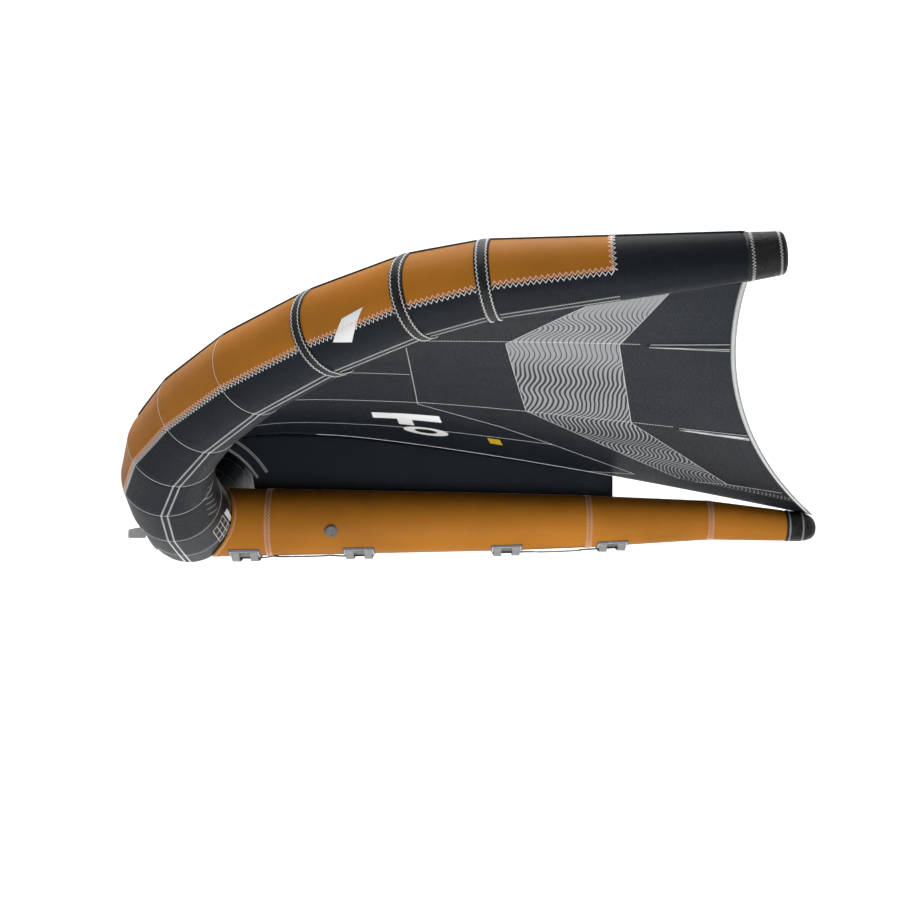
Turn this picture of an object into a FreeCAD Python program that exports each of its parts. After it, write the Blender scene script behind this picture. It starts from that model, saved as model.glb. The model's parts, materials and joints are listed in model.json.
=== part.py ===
import FreeCAD, Part
import math
import os

import Sketcher

# Inflatable hand-held wing: a swept, upswept inflatable leading edge, one inflatable centre strut
# and a thin canopy between them. Millimetres. X runs rearward, Y to the right, Z up.
# The origin is on the strut's belly, halfway between the two handles that hold the wing.

Vector = FreeCAD.Vector
UP = Vector(0, 0, 1)

# Each straight stretch of one half of the leading edge, from the nose to the tip:
# length, heading away from the span line, climb above level, and tube radius at its outer end.
STRETCHES = [
    (155, 5.5, 10.5, 126),
    (154, 1, 16, 123),
    (152, 1.5, 25.5, 120),
    (150, 18, 30.5, 117),
    (188, 34, 27, 112.5),
    (236, 42, 21.5, 106.5),
    (270, 49, 17.5, 99),
    (266, 51.5, 13, 90.5),
    (163, 69, 9.5, 82.5),
    (520, 84.5, 4.5, 49.5),
    (66, 85.5, 5.5, 43.5),
]
TIP_RING = 10
END_RING = 11
BANDED_RINGS = (7, 8, 9)
# Where the chafe strip crosses each ring, in degrees round the tube.
STRIP_ANGLES = {4: 144, 5: 129, 6: 117, 7: 109.5, 8: 102.5, 9: 96, 10: 93, 11: 93}
FIRST_STRIP_RING = 4
CANOPY_PANELS = {"inner": (0, 4), "middle": (4, 7), "outer": (7, 10)}
BATTEN_RIBS = {"inner": 4, "outer": 7}

# Strut stations from the nose to the tail: x, height of the axis, tube radius.
STRUT_STATIONS = [
    (-640, 88, 101),
    (-464, 88, 98),
    (209, 88.5, 84.5),
    (465, 90, 76),
    (821, 93.5, 57),
    (1047, 77.5, 44.5),
]
# The end sleeve between the strut's tail and its tip: share of its length, droop, narrowing.
END_CAP_STATIONS = [(0.62, 4.5, 5.5), (0.9, 5.5, 13)]
HANDLES = {"front": (-535, -203), "rear": (227, 535)}

DIMENSIONS = {
    "nose_x": -703,
    "nose_height": 98,
    "nose_radius": 129,
    "casing_wall": 2,
    "sleeve_gap": 0.3,
    "bladder_gap": 1,
    "bladder_wall": 1,
    "tip_dome": 14,
    "tip_dome_radius": 30,
    "band_width": 30,
    "band_thickness": 2,
    "sewing_gap": 0.8,
    "strip_width": 22,
    "strip_thickness": 2,
    "strip_gap": 1.5,
    "strip_start": 52,
    "canopy_thickness": 2,
    "canopy_gap": 5,
    "front_angle_root": 125,
    "front_angle_sweep": 185,
    "front_angle_power": 1.3,
    "camber_height": 162,
    "camber_spread": 2.48,
    "camber_peak": 0.27,
    "camber_peak_shift": 0.35,
    "camber_front_power": 3.5,
    "camber_rear_power": 1.35,
    "trailing_root_x": 1126,
    "trailing_tip_x": 671,
    "trailing_curve": 1.77,
    "trailing_half_span": 1273,
    "trailing_root_height": 108,
    "trailing_rise": 537.7,
    "trailing_bow": 46.7,
    "last_rib_reach": 0.88,
    "hem_width": 12,
    "hem_thickness": 1,
    "hem_gap": 0.5,
    "hem_margin": 2,
    "batten_width": 10,
    "batten_thickness": 1.5,
    "batten_length": 180,
    "batten_gap": 0.7,
    "pocket_gap": 0.4,
    "pocket_overrun": 14,
    "pocket_point_width": 4,
    "pocket_width": 30,
    "pocket_thickness": 1,
    "web_thickness": 2,
    "web_rear_x": 540,
    "web_arc_x": -711,
    "web_arc_height": 97,
    "web_arc_radius": 230,
    "web_gap": 0.8,
    "strut_bladder_front": 84,
    "strut_bladder_rear": 6,
    "end_cap_length": 88,
    "end_cap_droop": 6,
    "end_cap_radius": 22,
    "base_length": 92,
    "base_angle": 41,
    "base_thickness": 3,
    "loop_width": 23,
    "loop_offset": 27,
    "loop_angle": 30,
    "loop_half_span": 28,
    "loop_drop": 8.5,
    "loop_thickness": 2.5,
    "loop_gap": 0.9,
    "loop_foot_slant": 0.4,
    "webbing_width": 38,
    "webbing_thickness": 2.5,
    "grip_width": 42,
    "grip_thickness": 4,
    "tail_gap": 1.2,
    "tail_inset": 4,
    "grip_gap": 0.5,
    "grip_sag": 1.5,
    "front_grip_slack": 1.2,
    "rear_grip_slack": 5,
    "tail_free_length": 34,
    "patch_half_span": 78,
    "patch_thickness": 2,
    "patch_start_angle": 192,
    "patch_end_angle": 225,
    "nose_loop_height": 57,
    "nose_loop_half_span": 66,
    "nose_loop_reach": 41,
    "nose_loop_width": 24,
    "nose_loop_thickness": 4,
    "valve_x": -279,
    "valve_tilt": 12.6,
    "flange_radius": 18,
    "flange_thickness": 2.5,
    "neck_radius": 12,
    "port_radius": 9,
    "port_length": 14,
    "plug_seat_radius": 10,
    "plug_seat_depth": 7,
    "valve_depth": 26,
    "inner_flange_radius": 22,
    "cap_radius": 16,
    "cap_thickness": 3.5,
    "cap_gap": 0.5,
    "plug_radius": 9.2,
    "plug_tip_radius": 8.4,
    "plug_length": 6,
    "knuckle_radius": 1.8,
    "knuckle_length": 12,
    "tongue_width": 10,
    "tongue_thickness": 1.4,
    "tongue_overlap": 3,
    "hinge_offset": 18,
    "plunger_radius": 9.5,
    "plunger_thickness": 2,
    "plunger_stem_radius": 2,
    "plunger_stem_length": 12,
    "stem_guide_radius": 2.6,
    "hose_radius": 14,
    "hose_side_offset": 22,
    "hose_wall": 2,
    "hose_front_x": -592,
    "hose_rear_x": -548,
}

doc = FreeCAD.newDocument("inflatable_wing")
sheet = doc.addObject("Spreadsheet::Sheet", "dims")
nodes = {}


def fill_sheet():
    """Every driving dimension in a cell with its own alias, the leading edge's stations among them."""
    cells = dict(DIMENSIONS)
    for index, (length, heading, climb, radius) in enumerate(STRETCHES, start=1):
        cells[f"stretch{index}_length"] = length
        cells[f"stretch{index}_heading"] = heading
        cells[f"stretch{index}_climb"] = climb
        cells[f"ring{index}_radius"] = radius
    for index, angle in STRIP_ANGLES.items():
        cells[f"strip_angle{index}"] = angle
    for index, (x, height, radius) in enumerate(STRUT_STATIONS):
        cells[f"strut{index}_x"] = x
        cells[f"strut{index}_height"] = height
        cells[f"strut{index}_radius"] = radius
    for row, (alias, value) in enumerate(cells.items(), start=1):
        sheet.set(f"A{row}", alias)
        sheet.set(f"B{row}", str(value))
        sheet.setAlias(f"B{row}", alias)
    doc.recompute()


def size(alias):
    return float(sheet.get(alias))


def number(expression):
    value = sheet.evalExpression(expression)
    return float(getattr(value, "Value", value))


def add(kind, name):
    return doc.addObject(kind, name)


def keep(name, feature):
    """Marks a feature as a finished sub-part. Its Label names its file."""
    feature.Label = name
    nodes[name] = feature
    return feature


# ---- Leading edge: rings and the tube between them ----

def stretch_direction(index):
    heading = math.radians(size(f"stretch{index}_heading"))
    climb = math.radians(size(f"stretch{index}_climb"))
    return Vector(
        math.sin(heading) * math.cos(climb),
        -math.cos(heading) * math.cos(climb),
        math.sin(climb),
    )


def ring_radius(index):
    return size("nose_radius") if index == 0 else size(f"ring{index}_radius")


def radius_expression(index):
    return "dims.nose_radius" if index == 0 else f"dims.ring{index}_radius"


def left_rings():
    """Centre and seam-plane normal of each ring of the left half. A seam plane halves the bend."""
    centres = [Vector(size("nose_x"), 0, size("nose_height"))]
    directions = []
    for index in range(1, len(STRETCHES) + 1):
        directions.append(stretch_direction(index))
        centres.append(centres[-1] + directions[-1] * size(f"stretch{index}_length"))
    normals = [Vector(0, -1, 0)]
    for before, after in zip(directions, directions[1:]):
        normals.append((before + after).normalize())
    normals.append(Vector(directions[-1]))
    return centres, normals


def ring_axes(normal):
    """The ring plane's own axes: level and rearward or inboard, and upward."""
    inboard = UP.cross(normal).normalize()
    return inboard, normal.cross(inboard)


def ring_point(index, angle, radius):
    """A point of a left ring's plane, at an angle from the inboard axis towards up."""
    inboard, upward = ring_axes(NORMALS[index])
    turn = math.radians(angle)
    return CENTRES[index] + inboard * (radius * math.cos(turn)) + upward * (radius * math.sin(turn))


def mirrored(point):
    return Vector(point.x, -point.y, point.z)


def circle(name, centre, normal, expression):
    """A circle whose seam vertex is at its top, so that lofted neighbours don't twist."""
    inboard, upward = ring_axes(normal)
    feature = add("Part::Circle", name)
    feature.setExpression("Radius", expression)
    rotation = FreeCAD.Rotation(upward, normal.cross(upward), normal, "ZXY")
    feature.Placement = FreeCAD.Placement(centre, rotation)
    return feature


def ring_circle(name, index, inset, side=-1, shift=0.0):
    """A ring's circle, smaller by the inset expression, on the left (-1) or right (1) half."""
    centre = CENTRES[index] + NORMALS[index] * shift
    normal = Vector(NORMALS[index])
    if side > 0:
        centre = mirrored(centre)
        normal = Vector(-normal.x, normal.y, -normal.z)
    return circle(name, centre, normal, f"{radius_expression(index)} - ({inset})")


def loft(name, sections, ruled=True):
    feature = add("Part::Loft", name)
    feature.Sections = sections
    feature.Solid = True
    feature.Ruled = ruled
    return feature


def cut(name, base, tool):
    feature = add("Part::Cut", name)
    feature.Base = base
    feature.Tool = tool
    return feature


def group(name, features):
    feature = add("Part::Compound", name)
    feature.Links = features
    return feature


def mirror(name, source):
    feature = add("Part::Mirroring", f"{name}_mirror")
    feature.Source = source
    feature.Base = Vector(0, 0, 0)
    feature.Normal = Vector(0, 1, 0)
    return keep(name, feature)


def both_sides(name, feature):
    """Keeps the left sub-part and its mirror image on the right."""
    keep(name.format("left"), feature)
    mirror(name.format("right"), feature)


def shell_between(name, outer, inner, ruled=True):
    return cut(name, loft(f"{name}_outside", outer, ruled), loft(f"{name}_inside", inner, ruled))


def leading_edge_casing():
    """One mitred cloth tube per stretch. The nose piece is the first stretch of both halves."""
    wall = "dims.casing_wall"
    outer = [ring_circle(f"ring{i}_outer", i, "0") for i in range(TIP_RING + 1)]
    inner = [ring_circle(f"ring{i}_inner", i, wall) for i in range(TIP_RING + 1)]
    nose_outer = [ring_circle("nose_outer", 1, "0", side=1), outer[0], outer[1]]
    nose_inner = [ring_circle("nose_inner", 1, wall, side=1), inner[0], inner[1]]
    nose_tube = shell_between("nose_tube", nose_outer, nose_inner)
    keep("leading_edge_nose", cut("nose_with_port", nose_tube, hose_hole()))
    for i in range(1, TIP_RING):
        tube = shell_between(f"tube{i}", outer[i:i + 2], inner[i:i + 2])
        both_sides(f"leading_edge_{{}}_{i}", tube)


def bladder_chain(name, inset, end_margin):
    """Circles of the one bladder that runs from tip to tip, its ends short of the tip rings."""
    right = [ring_circle(f"{name}_right{i}", i, inset, side=1) for i in range(TIP_RING - 1, 0, -1)]
    left = [ring_circle(f"{name}_left{i}", i, inset) for i in range(TIP_RING)]
    right_end = ring_circle(f"{name}_right_end", TIP_RING, inset, side=1, shift=-end_margin)
    left_end = ring_circle(f"{name}_left_end", TIP_RING, inset, shift=-end_margin)
    return [right_end] + right + left + [left_end]


def leading_edge_bladder():
    outer_inset = "dims.casing_wall + dims.bladder_gap"
    inner_inset = f"{outer_inset} + dims.bladder_wall"
    margin = size("hem_width")
    outer = bladder_chain("bladder_skin", outer_inset, margin)
    inner = bladder_chain("bladder_air", inner_inset, margin + size("bladder_wall"))
    skin = shell_between("bladder_tube", outer, inner)
    keep("leading_edge_bladder", cut("bladder_with_port", skin, doc.getObject("hose_hole")))


def tip_cap():
    """The reinforced end sleeve, closed by a shallow dome."""
    def stations(name, inset, depth):
        first = ring_circle(f"{name}_start", TIP_RING, inset, shift=size("sleeve_gap"))
        last = ring_circle(f"{name}_end", END_RING, inset)
        dome_centre = CENTRES[END_RING] + NORMALS[END_RING] * depth
        dome = circle(f"{name}_dome", dome_centre, NORMALS[END_RING], f"dims.tip_dome_radius - {inset}")
        return [first, last, dome]
    wall = "dims.casing_wall"
    outer = stations("cap_skin", "0", size("tip_dome"))
    inner = stations("cap_space", wall, size("tip_dome") - size("casing_wall"))
    both_sides("tip_cap_{}", shell_between("tip_cap_shell", outer, inner))


def ring_bands():
    """Reinforcing bands sewn round the mitred seams, half on each stretch."""
    half = size("band_width") / 2
    bands = []
    for i in BANDED_RINGS:
        sections = {}
        for face, offset in (("inside", "dims.sewing_gap"),
                             ("outside", "dims.sewing_gap + dims.band_thickness")):
            sections[face] = [
                circle(
                    f"band{i}_{face}{step}",
                    CENTRES[i] + stretch_direction(i if step < 0 else i + 1) * (half * step),
                    NORMALS[i],
                    f"{tube_radius_at(i, half * step):.3f} + {offset}",
                )
                for step in (-1, 0, 1)
            ]
        bands.append(shell_between(f"band{i}", sections["outside"], sections["inside"]))
    both_sides("ring_bands_{}", group("bands", bands))


def tube_radius_at(index, distance):
    """Tube radius at a distance along the tube from a ring, towards the tip if positive."""
    other = index + 1 if distance > 0 else index - 1
    length = size(f"stretch{max(index, other)}_length")
    share = abs(distance) / length
    return ring_radius(index) * (1 - share) + ring_radius(other) * share


def wire_feature(name, points):
    feature = add("Part::Feature", name)
    feature.Shape = Part.makePolygon(list(points) + [points[0]])
    return feature


def strip_section(name, index, distance):
    """The strip's small rectangle across the tube's top, at a distance along from a ring."""
    step = stretch_direction(index if distance < 0 else min(index + 1, END_RING)) * distance
    low = tube_radius_at(index, distance) + size("strip_gap") if distance else (
        ring_radius(index) + size("strip_gap"))
    half_angle = math.degrees(size("strip_width") / 2 / low)
    middle = size(f"strip_angle{index}")
    corners = [
        ring_point(index, middle + turn, radius) + step
        for turn, radius in (
            (-half_angle, low),
            (half_angle, low),
            (half_angle, low + size("strip_thickness")),
            (-half_angle, low + size("strip_thickness")),
        )
    ]
    return wire_feature(name, corners)


def bumper_strip():
    """Chafe strip along the upper front of the leading edge, in lengths between the ring bands."""
    clear = size("band_width") / 2 + 1
    lengths = []
    for i in range(FIRST_STRIP_RING, TIP_RING):
        start = clear if i in BANDED_RINGS else 0
        if i == FIRST_STRIP_RING:
            start = size("strip_start")
        end = -clear if i + 1 in BANDED_RINGS else 0
        sections = [strip_section(f"strip{i}_start", i, start), strip_section(f"strip{i}_end", i + 1, end)]
        lengths.append(loft(f"strip{i}", sections))
    tip = [strip_section("strip_tip_start", TIP_RING, 0), strip_section("strip_tip_end", END_RING, 0)]
    lengths.append(loft("strip_tip", tip))
    both_sides("bumper_strip_{}", group("strip_lengths", lengths))


# ---- Canopy: ribs between the leading edge and the trailing edge ----

def trailing_point(share):
    """A point of the left trailing edge, from the strut (0) to the tip (1)."""
    root_x = size("trailing_root_x")
    tip_x = size("trailing_tip_x")
    bow = size("trailing_bow")
    x = tip_x + (root_x - tip_x) * (1 - share) ** size("trailing_curve")
    z = size("trailing_root_height") + (size("trailing_rise") - bow) * share + bow * share ** 2
    return Vector(x, -size("trailing_half_span") * share, z)


def span_share(index):
    return CENTRES[index].y / CENTRES[TIP_RING].y


def front_point(index):
    """Where the canopy leaves the tube: over its top at the nose, inboard and low at the tip."""
    share = span_share(index)
    angle = size("front_angle_root") - size("front_angle_sweep") * share ** size("front_angle_power")
    return ring_point(index, angle, ring_radius(index) + size("canopy_gap"))


def camber(share, along):
    """Height of the canopy above its chord line, as a share of the way along it."""
    height = size("camber_height") * math.exp(-(size("camber_spread") * share) ** 2)
    peak = size("camber_peak") + size("camber_peak_shift") * share
    if along < peak:
        return height * (1 - (1 - along / peak) ** size("camber_front_power"))
    return height * (1 - ((along - peak) / (1 - peak)) ** size("camber_rear_power"))


def rib_ends(index):
    """Front and rear point of a rib. The last rib is short, beside the tip ring."""
    if index < TIP_RING:
        return front_point(index), trailing_point(span_share(index))
    reach = size("last_rib_reach")
    front = front_point(TIP_RING - 1) * (1 - reach) + front_point(TIP_RING) * reach
    return front, trailing_point(1)


def rib_point(index, along, drop=0.0):
    front, rear = rib_ends(index)
    point = front * (1 - along) + rear * along
    point.z += camber(span_share(index), along) - drop
    return point


RIB_STEPS = (0, 0.02, 0.05, 0.09, 0.15, 0.22, 0.3, 0.42, 0.56, 0.7, 0.85, 1)


def rib_wire(name, index):
    """A thin closed profile in the rib's upright plane: underside, rear edge, upper side, front edge."""
    thickness = size("canopy_thickness")
    lower = [rib_point(index, step) for step in RIB_STEPS]
    upper = [point + UP * thickness for point in lower]
    under = Part.BSplineCurve()
    under.interpolate(lower)
    over = Part.BSplineCurve()
    over.interpolate(upper)
    edges = [
        under.toShape(),
        Part.makeLine(lower[-1], upper[-1]),
        over.toShape(),
        Part.makeLine(upper[0], lower[0]),
    ]
    feature = add("Part::Feature", name)
    feature.Shape = Part.Wire(edges)
    return feature


def canopy():
    ribs = [rib_wire(f"rib{i}", i) for i in range(TIP_RING + 1)]
    for panel, (first, last) in CANOPY_PANELS.items():
        both_sides(f"canopy_{{}}_{panel}", loft(f"{panel}_panel", ribs[first:last + 1]))


def hem():
    """The tape sewn under the trailing edge."""
    top = size("hem_gap")
    bottom = top + size("hem_thickness")
    sections = []
    for i in range(TIP_RING + 1):
        front, rear = rib_ends(i)
        start = 1 - size("hem_width") / (rear - front).Length
        corners = [
            rib_point(i, start, top),
            rib_point(i, 1, top),
            rib_point(i, 1, bottom),
            rib_point(i, start, bottom),
        ]
        sections.append(wire_feature(f"hem{i}", corners))
    both_sides("trailing_hem_{}", loft("hem_tape", sections))


def along_rib(index, distance):
    """Share of the rib at a distance forward of the trailing edge."""
    front, rear = rib_ends(index)
    return 1 - distance / (rear - front).Length


def crosswise(index, distance, half_width, drop, thickness):
    """A thin upright rectangle across a rib's line, under the canopy."""
    along = along_rib(index, distance)
    inboard_slope = (rib_point(index - 1, along) - rib_point(index, along)).normalize()
    outboard_slope = (rib_point(index + 1, along) - rib_point(index, along)).normalize()
    middle = rib_point(index, along, drop)
    inboard = middle + inboard_slope * half_width
    outboard = middle + outboard_slope * half_width
    down = UP * -thickness
    return [[outboard, middle, middle + down, outboard + down], [middle, inboard, inboard + down, middle + down]]


def tapered_strip(name, index, near, far, near_half, far_half, drop, thickness):
    """A strip along a rib that follows the canopy's slope on each side of it."""
    pieces = []
    for half in (0, 1):
        sections = []
        for distance, width in ((near, near_half), ((near + far) / 2, (near_half + far_half) / 2),
                                (far, far_half)):
            corners = crosswise(index, distance, width, drop, thickness)[half]
            sections.append(wire_feature(f"{name}_{half}_{len(sections)}", corners))
        pieces.append(loft(f"{name}_half{half}", sections))
    joined = add("Part::MultiFuse", f"{name}_joined")
    joined.Shapes = pieces
    return joined


def battens_and_pockets():
    """Flat battens that stiffen the trailing edge, each held under the canopy by a wedge-shaped pocket."""
    near = size("hem_width") + size("hem_margin")
    far = size("batten_length")
    battens = []
    pockets = []
    drop = size("batten_gap")
    cover = drop + size("batten_thickness") + size("pocket_gap")
    pocket_far = far + size("pocket_overrun")
    for place, index in BATTEN_RIBS.items():
        half = size("batten_width") / 2
        battens.append(
            tapered_strip(f"batten_{place}", index, near, far, half, half, drop, size("batten_thickness")))
        pockets.append(
            tapered_strip(f"pocket_{place}", index, near, pocket_far, size("pocket_width") / 2,
                          size("pocket_point_width") / 2, cover, size("pocket_thickness")))
    both_sides("battens_{}", group("batten_set", battens))
    both_sides("batten_pockets_{}", group("pocket_set", pockets))


# ---- Strut ----

def strut_axis(x):
    """Height of the strut's axis and its radius at x."""
    stations = [tuple(size(f"strut{i}_{part}") for part in ("x", "height", "radius"))
                for i in range(len(STRUT_STATIONS))]
    for (x0, z0, r0), (x1, z1, r1) in zip(stations, stations[1:]):
        if x <= x1:
            share = (x - x0) / (x1 - x0)
            return z0 + (z1 - z0) * share, r0 + (r1 - r0) * share
    return stations[-1][1:]


def strut_circle(name, index, inset, shift=0.0):
    x = size(f"strut{index}_x") + shift
    centre = Vector(x, 0, strut_axis(x)[0])
    radius = f"dims.strut{index}_radius"
    if shift:
        radius = f"{strut_axis(x)[1]:.3f}"
    return circle(name, centre, Vector(1, 0, 0), f"{radius} - ({inset})")


def body_with(name):
    return add("PartDesign::Body", name)


def plane(body, role):
    return next(feature for feature in body.Origin.OriginFeatures if feature.Role == role)


def sketch_polygon(body, name, role, corners):
    """A closed polygon in one of the body's planes. Each corner is a pair of sheet expressions."""
    sketch = body.newObject("Sketcher::SketchObject", name)
    sketch.AttachmentSupport = [(plane(body, role), "")]
    sketch.MapMode = "FlatFace"
    points = [Vector(number(x), number(y), 0) for x, y in corners]
    count = len(points)
    for i in range(count):
        sketch.addGeometry(Part.LineSegment(points[i], points[(i + 1) % count]), False)
    for i in range(count):
        sketch.addConstraint(Sketcher.Constraint("Coincident", i, 2, (i + 1) % count, 1))
    for i, (x, y) in enumerate(corners):
        for kind, expression, value in (("DistanceX", x, points[i].x), ("DistanceY", y, points[i].y)):
            place = sketch.addConstraint(Sketcher.Constraint(kind, -1, 1, i, 1, value))
            if "dims" in expression:
                sketch.setExpression(f"Constraints[{place}]", expression)
    return sketch


def pad(body, sketch, length):
    """A pad half on each side of the sketch."""
    feature = body.newObject("PartDesign::Pad", f"{sketch.Name}_pad")
    feature.Profile = sketch
    feature.setExpression("Length", length)
    feature.Midplane = True
    body.Tip = feature
    return feature


def revolve(body, sketch, axis):
    feature = body.newObject("PartDesign::Revolution", f"{sketch.Name}_revolution")
    feature.Profile = sketch
    feature.ReferenceAxis = (sketch, [axis])
    feature.Angle = 360
    body.Tip = feature
    return feature


def valve_axis():
    """Point where the valve's axis leaves the casing, and the direction out, on the strut's left flank."""
    height, radius = strut_axis(size("valve_x"))
    tilt = math.radians(size("valve_tilt"))
    outward = Vector(0, -math.cos(tilt), -math.sin(tilt))
    return Vector(size("valve_x"), 0, height) + outward * radius, outward


def valve_placement():
    """Puts a piece modelled about +Z on the valve's axis, with its local X forward along the strut."""
    seat, outward = valve_axis()
    forward = Vector(-1, 0, 0)
    return FreeCAD.Placement(seat, FreeCAD.Rotation(forward, outward.cross(forward), outward, "ZXY"))


def valve_hole(name, radius):
    """A clearance cylinder on the valve's axis."""
    hole = add("Part::Cylinder", name)
    hole.setExpression("Radius", radius)
    hole.setExpression("Height", "dims.valve_depth * 2")
    seat, outward = valve_axis()
    hole.Placement = FreeCAD.Placement(
        seat - outward * size("valve_depth"), valve_placement().Rotation)
    return hole


def hose_hole():
    """Clearance for the hose that joins the two bladders."""
    hole = add("Part::Cylinder", "hose_hole")
    hole.setExpression("Radius", "dims.hose_radius + 0.5")
    hole.setExpression("Height", "dims.hose_rear_x - dims.hose_front_x + 2")
    hole.Placement = FreeCAD.Placement(
        Vector(size("hose_front_x") - 1, size("hose_side_offset"), size("nose_height")),
        FreeCAD.Rotation(Vector(0, 1, 0), 90))
    return hole


def strut_casing():
    """Four cloth tubes. The front one is saddle-cut to the leading edge."""
    wall = "dims.casing_wall"
    outer = [strut_circle(f"strut_ring{i}_outer", i, "0") for i in range(len(STRUT_STATIONS))]
    inner = [strut_circle(f"strut_ring{i}_inner", i, wall) for i in range(len(STRUT_STATIONS))]
    front = shell_between("strut_front_tube", outer[0:2], inner[0:2])
    saddle = loft("saddle", [
        ring_circle("saddle_right", 1, "-dims.sewing_gap", side=1),
        ring_circle("saddle_middle", 0, "-dims.sewing_gap"),
        ring_circle("saddle_left", 1, "-dims.sewing_gap"),
    ])
    keep("strut_front", cut("strut_front_saddled", front, saddle))
    middle = shell_between("strut_middle_tube", outer[1:4], inner[1:4])
    port = valve_hole("casing_port", "dims.neck_radius + 0.3")
    keep("strut_middle", cut("strut_middle_with_port", middle, port))
    keep("strut_rear", shell_between("strut_rear_tube", outer[3:5], inner[3:5]))
    keep("strut_tail", shell_between("strut_tail_tube", outer[4:6], inner[4:6]))


def strut_bladder():
    def chain(name, inset, margin):
        first = strut_circle(f"{name}_first", 0, inset, shift=size("strut_bladder_front") + margin)
        between = [strut_circle(f"{name}{i}", i, inset) for i in range(1, len(STRUT_STATIONS) - 1)]
        tail = -size("strut_bladder_rear") - margin
        last = strut_circle(f"{name}_last", len(STRUT_STATIONS) - 1, inset, shift=tail)
        return [first] + between + [last]
    outer_inset = "dims.casing_wall + dims.bladder_gap"
    inner_inset = f"{outer_inset} + dims.bladder_wall"
    skin = shell_between(
        "strut_bladder_tube",
        chain("strut_bladder_skin", outer_inset, 0),
        chain("strut_bladder_air", inner_inset, size("bladder_wall")),
    )
    port = valve_hole("bladder_port", "dims.inner_flange_radius + 0.5")
    with_valve = cut("strut_bladder_valved", skin, port)
    keep("strut_bladder", cut("strut_bladder_ported", with_valve, doc.getObject("hose_hole")))


def strut_end_cap():
    """The reinforced sleeve that closes the strut's tail."""
    x = size(f"strut{len(STRUT_STATIONS) - 1}_x")
    height, radius = strut_axis(x)
    length = size("end_cap_length")
    rings = [(size("sleeve_gap"), 0, radius)]
    rings += [(share * length, -droop, radius - narrowing) for share, droop, narrowing in END_CAP_STATIONS]
    rings.append((length, -size("end_cap_droop"), size("end_cap_radius")))
    wall = size("casing_wall")
    sections = {}
    for face, inset in (("outside", 0), ("inside", wall)):
        sections[face] = [
            circle(f"end_cap_{face}{i}", Vector(x + min(along, length - inset), 0, height + drop),
                   Vector(1, 0, 0), f"{ring - inset}")
            for i, (along, drop, ring) in enumerate(rings)
        ]
    keep("strut_end_cap", shell_between("end_cap_shell", sections["outside"], sections["inside"]))


def keel_web():
    """The upright panel between the strut and the canopy, its front edge an arc round the nose tube."""
    gap = size("web_gap")
    rear_x = size("web_rear_x")
    centre = Vector(size("web_arc_x"), 0, size("web_arc_height"))
    radius = size("web_arc_radius")

    def canopy_under(x):
        front, rear = rib_ends(0)
        along = (x - front.x) / (rear.x - front.x)
        return rib_point(0, along).z - gap

    def strut_top(x):
        height, tube = strut_axis(x)
        return height + tube + gap

    def arc_point(turn):
        angle = math.radians(turn)
        return centre + Vector(radius * math.cos(angle), 0, radius * math.sin(angle))

    def meeting(limit, low, high):
        """The arc's turn where it crosses a limiting height, by halving."""
        for _ in range(40):
            middle = (low + high) / 2
            point = arc_point(middle)
            if point.z < limit(point.x):
                low = middle
            else:
                high = middle
        return low

    top_turn = meeting(canopy_under, 0, 90)
    bottom_turn = meeting(strut_top, 0, 90)
    top_front = arc_point(top_turn)
    bottom_front = arc_point(bottom_turn)
    steps = 10
    top_points = [Vector(x, 0, canopy_under(x)) for x in
                  [top_front.x + (rear_x - top_front.x) * i / steps for i in range(steps + 1)]]
    top = Part.BSplineCurve()
    top.interpolate(top_points)
    knees = [size(f"strut{i}_x") for i in (1, 2, 3)]
    bottom_points = [Vector(x, 0, strut_top(x)) for x in
                     [bottom_front.x] + [x for x in knees if bottom_front.x < x < rear_x] + [rear_x]]
    edges = [
        Part.Arc(bottom_front, arc_point((top_turn + bottom_turn) / 2), top_points[0]).toShape(),
        top.toShape(),
        Part.makeLine(top_points[-1], bottom_points[-1]),
    ]
    edges += [Part.makeLine(a, b) for a, b in zip(bottom_points[::-1], bottom_points[-2::-1])]
    face = Part.Face(Part.Wire(Part.__sortEdges__(edges)))
    outline = add("Part::Feature", "web_outline")
    outline.Shape = face
    web = add("Part::Extrusion", "web_panel")
    web.Base = outline
    web.DirMode = "Custom"
    web.Dir = Vector(0, 1, 0)
    web.setExpression("LengthFwd", "dims.web_thickness")
    web.Symmetric = True
    web.Solid = True
    keep("keel_web", web)


# ---- Handles under the strut ----

def belt_section(name, x, first_angle, last_angle, lift, thickness):
    """A thin sector of a ring round the strut's belly at x."""
    height, radius = strut_axis(x)

    def point(turn, distance):
        angle = math.radians(turn)
        return Vector(x, distance * math.cos(angle), height + distance * math.sin(angle))

    low = radius + lift
    high = low + thickness
    middle = (first_angle + last_angle) / 2
    edges = [
        Part.Arc(point(first_angle, low), point(middle, low), point(last_angle, low)).toShape(),
        Part.makeLine(point(last_angle, low), point(last_angle, high)),
        Part.Arc(point(last_angle, high), point(middle, high), point(first_angle, high)).toShape(),
        Part.makeLine(point(first_angle, high), point(first_angle, low)),
    ]
    feature = add("Part::Feature", name)
    feature.Shape = Part.Wire(edges)
    return feature


def handle_base(name, x):
    half = size("base_length") / 2
    spread = size("base_angle")
    sections = [
        belt_section(f"{name}_{end}", x + half * end, 270 - spread, 270 + spread,
                     size("sewing_gap"), size("base_thickness"))
        for end in (-1, 1)
    ]
    return loft(name, sections)


def base_surface(x):
    """Distance from the strut's axis to the outside of a handle base."""
    return strut_axis(x)[1] + size("sewing_gap") + size("base_thickness")


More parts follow.
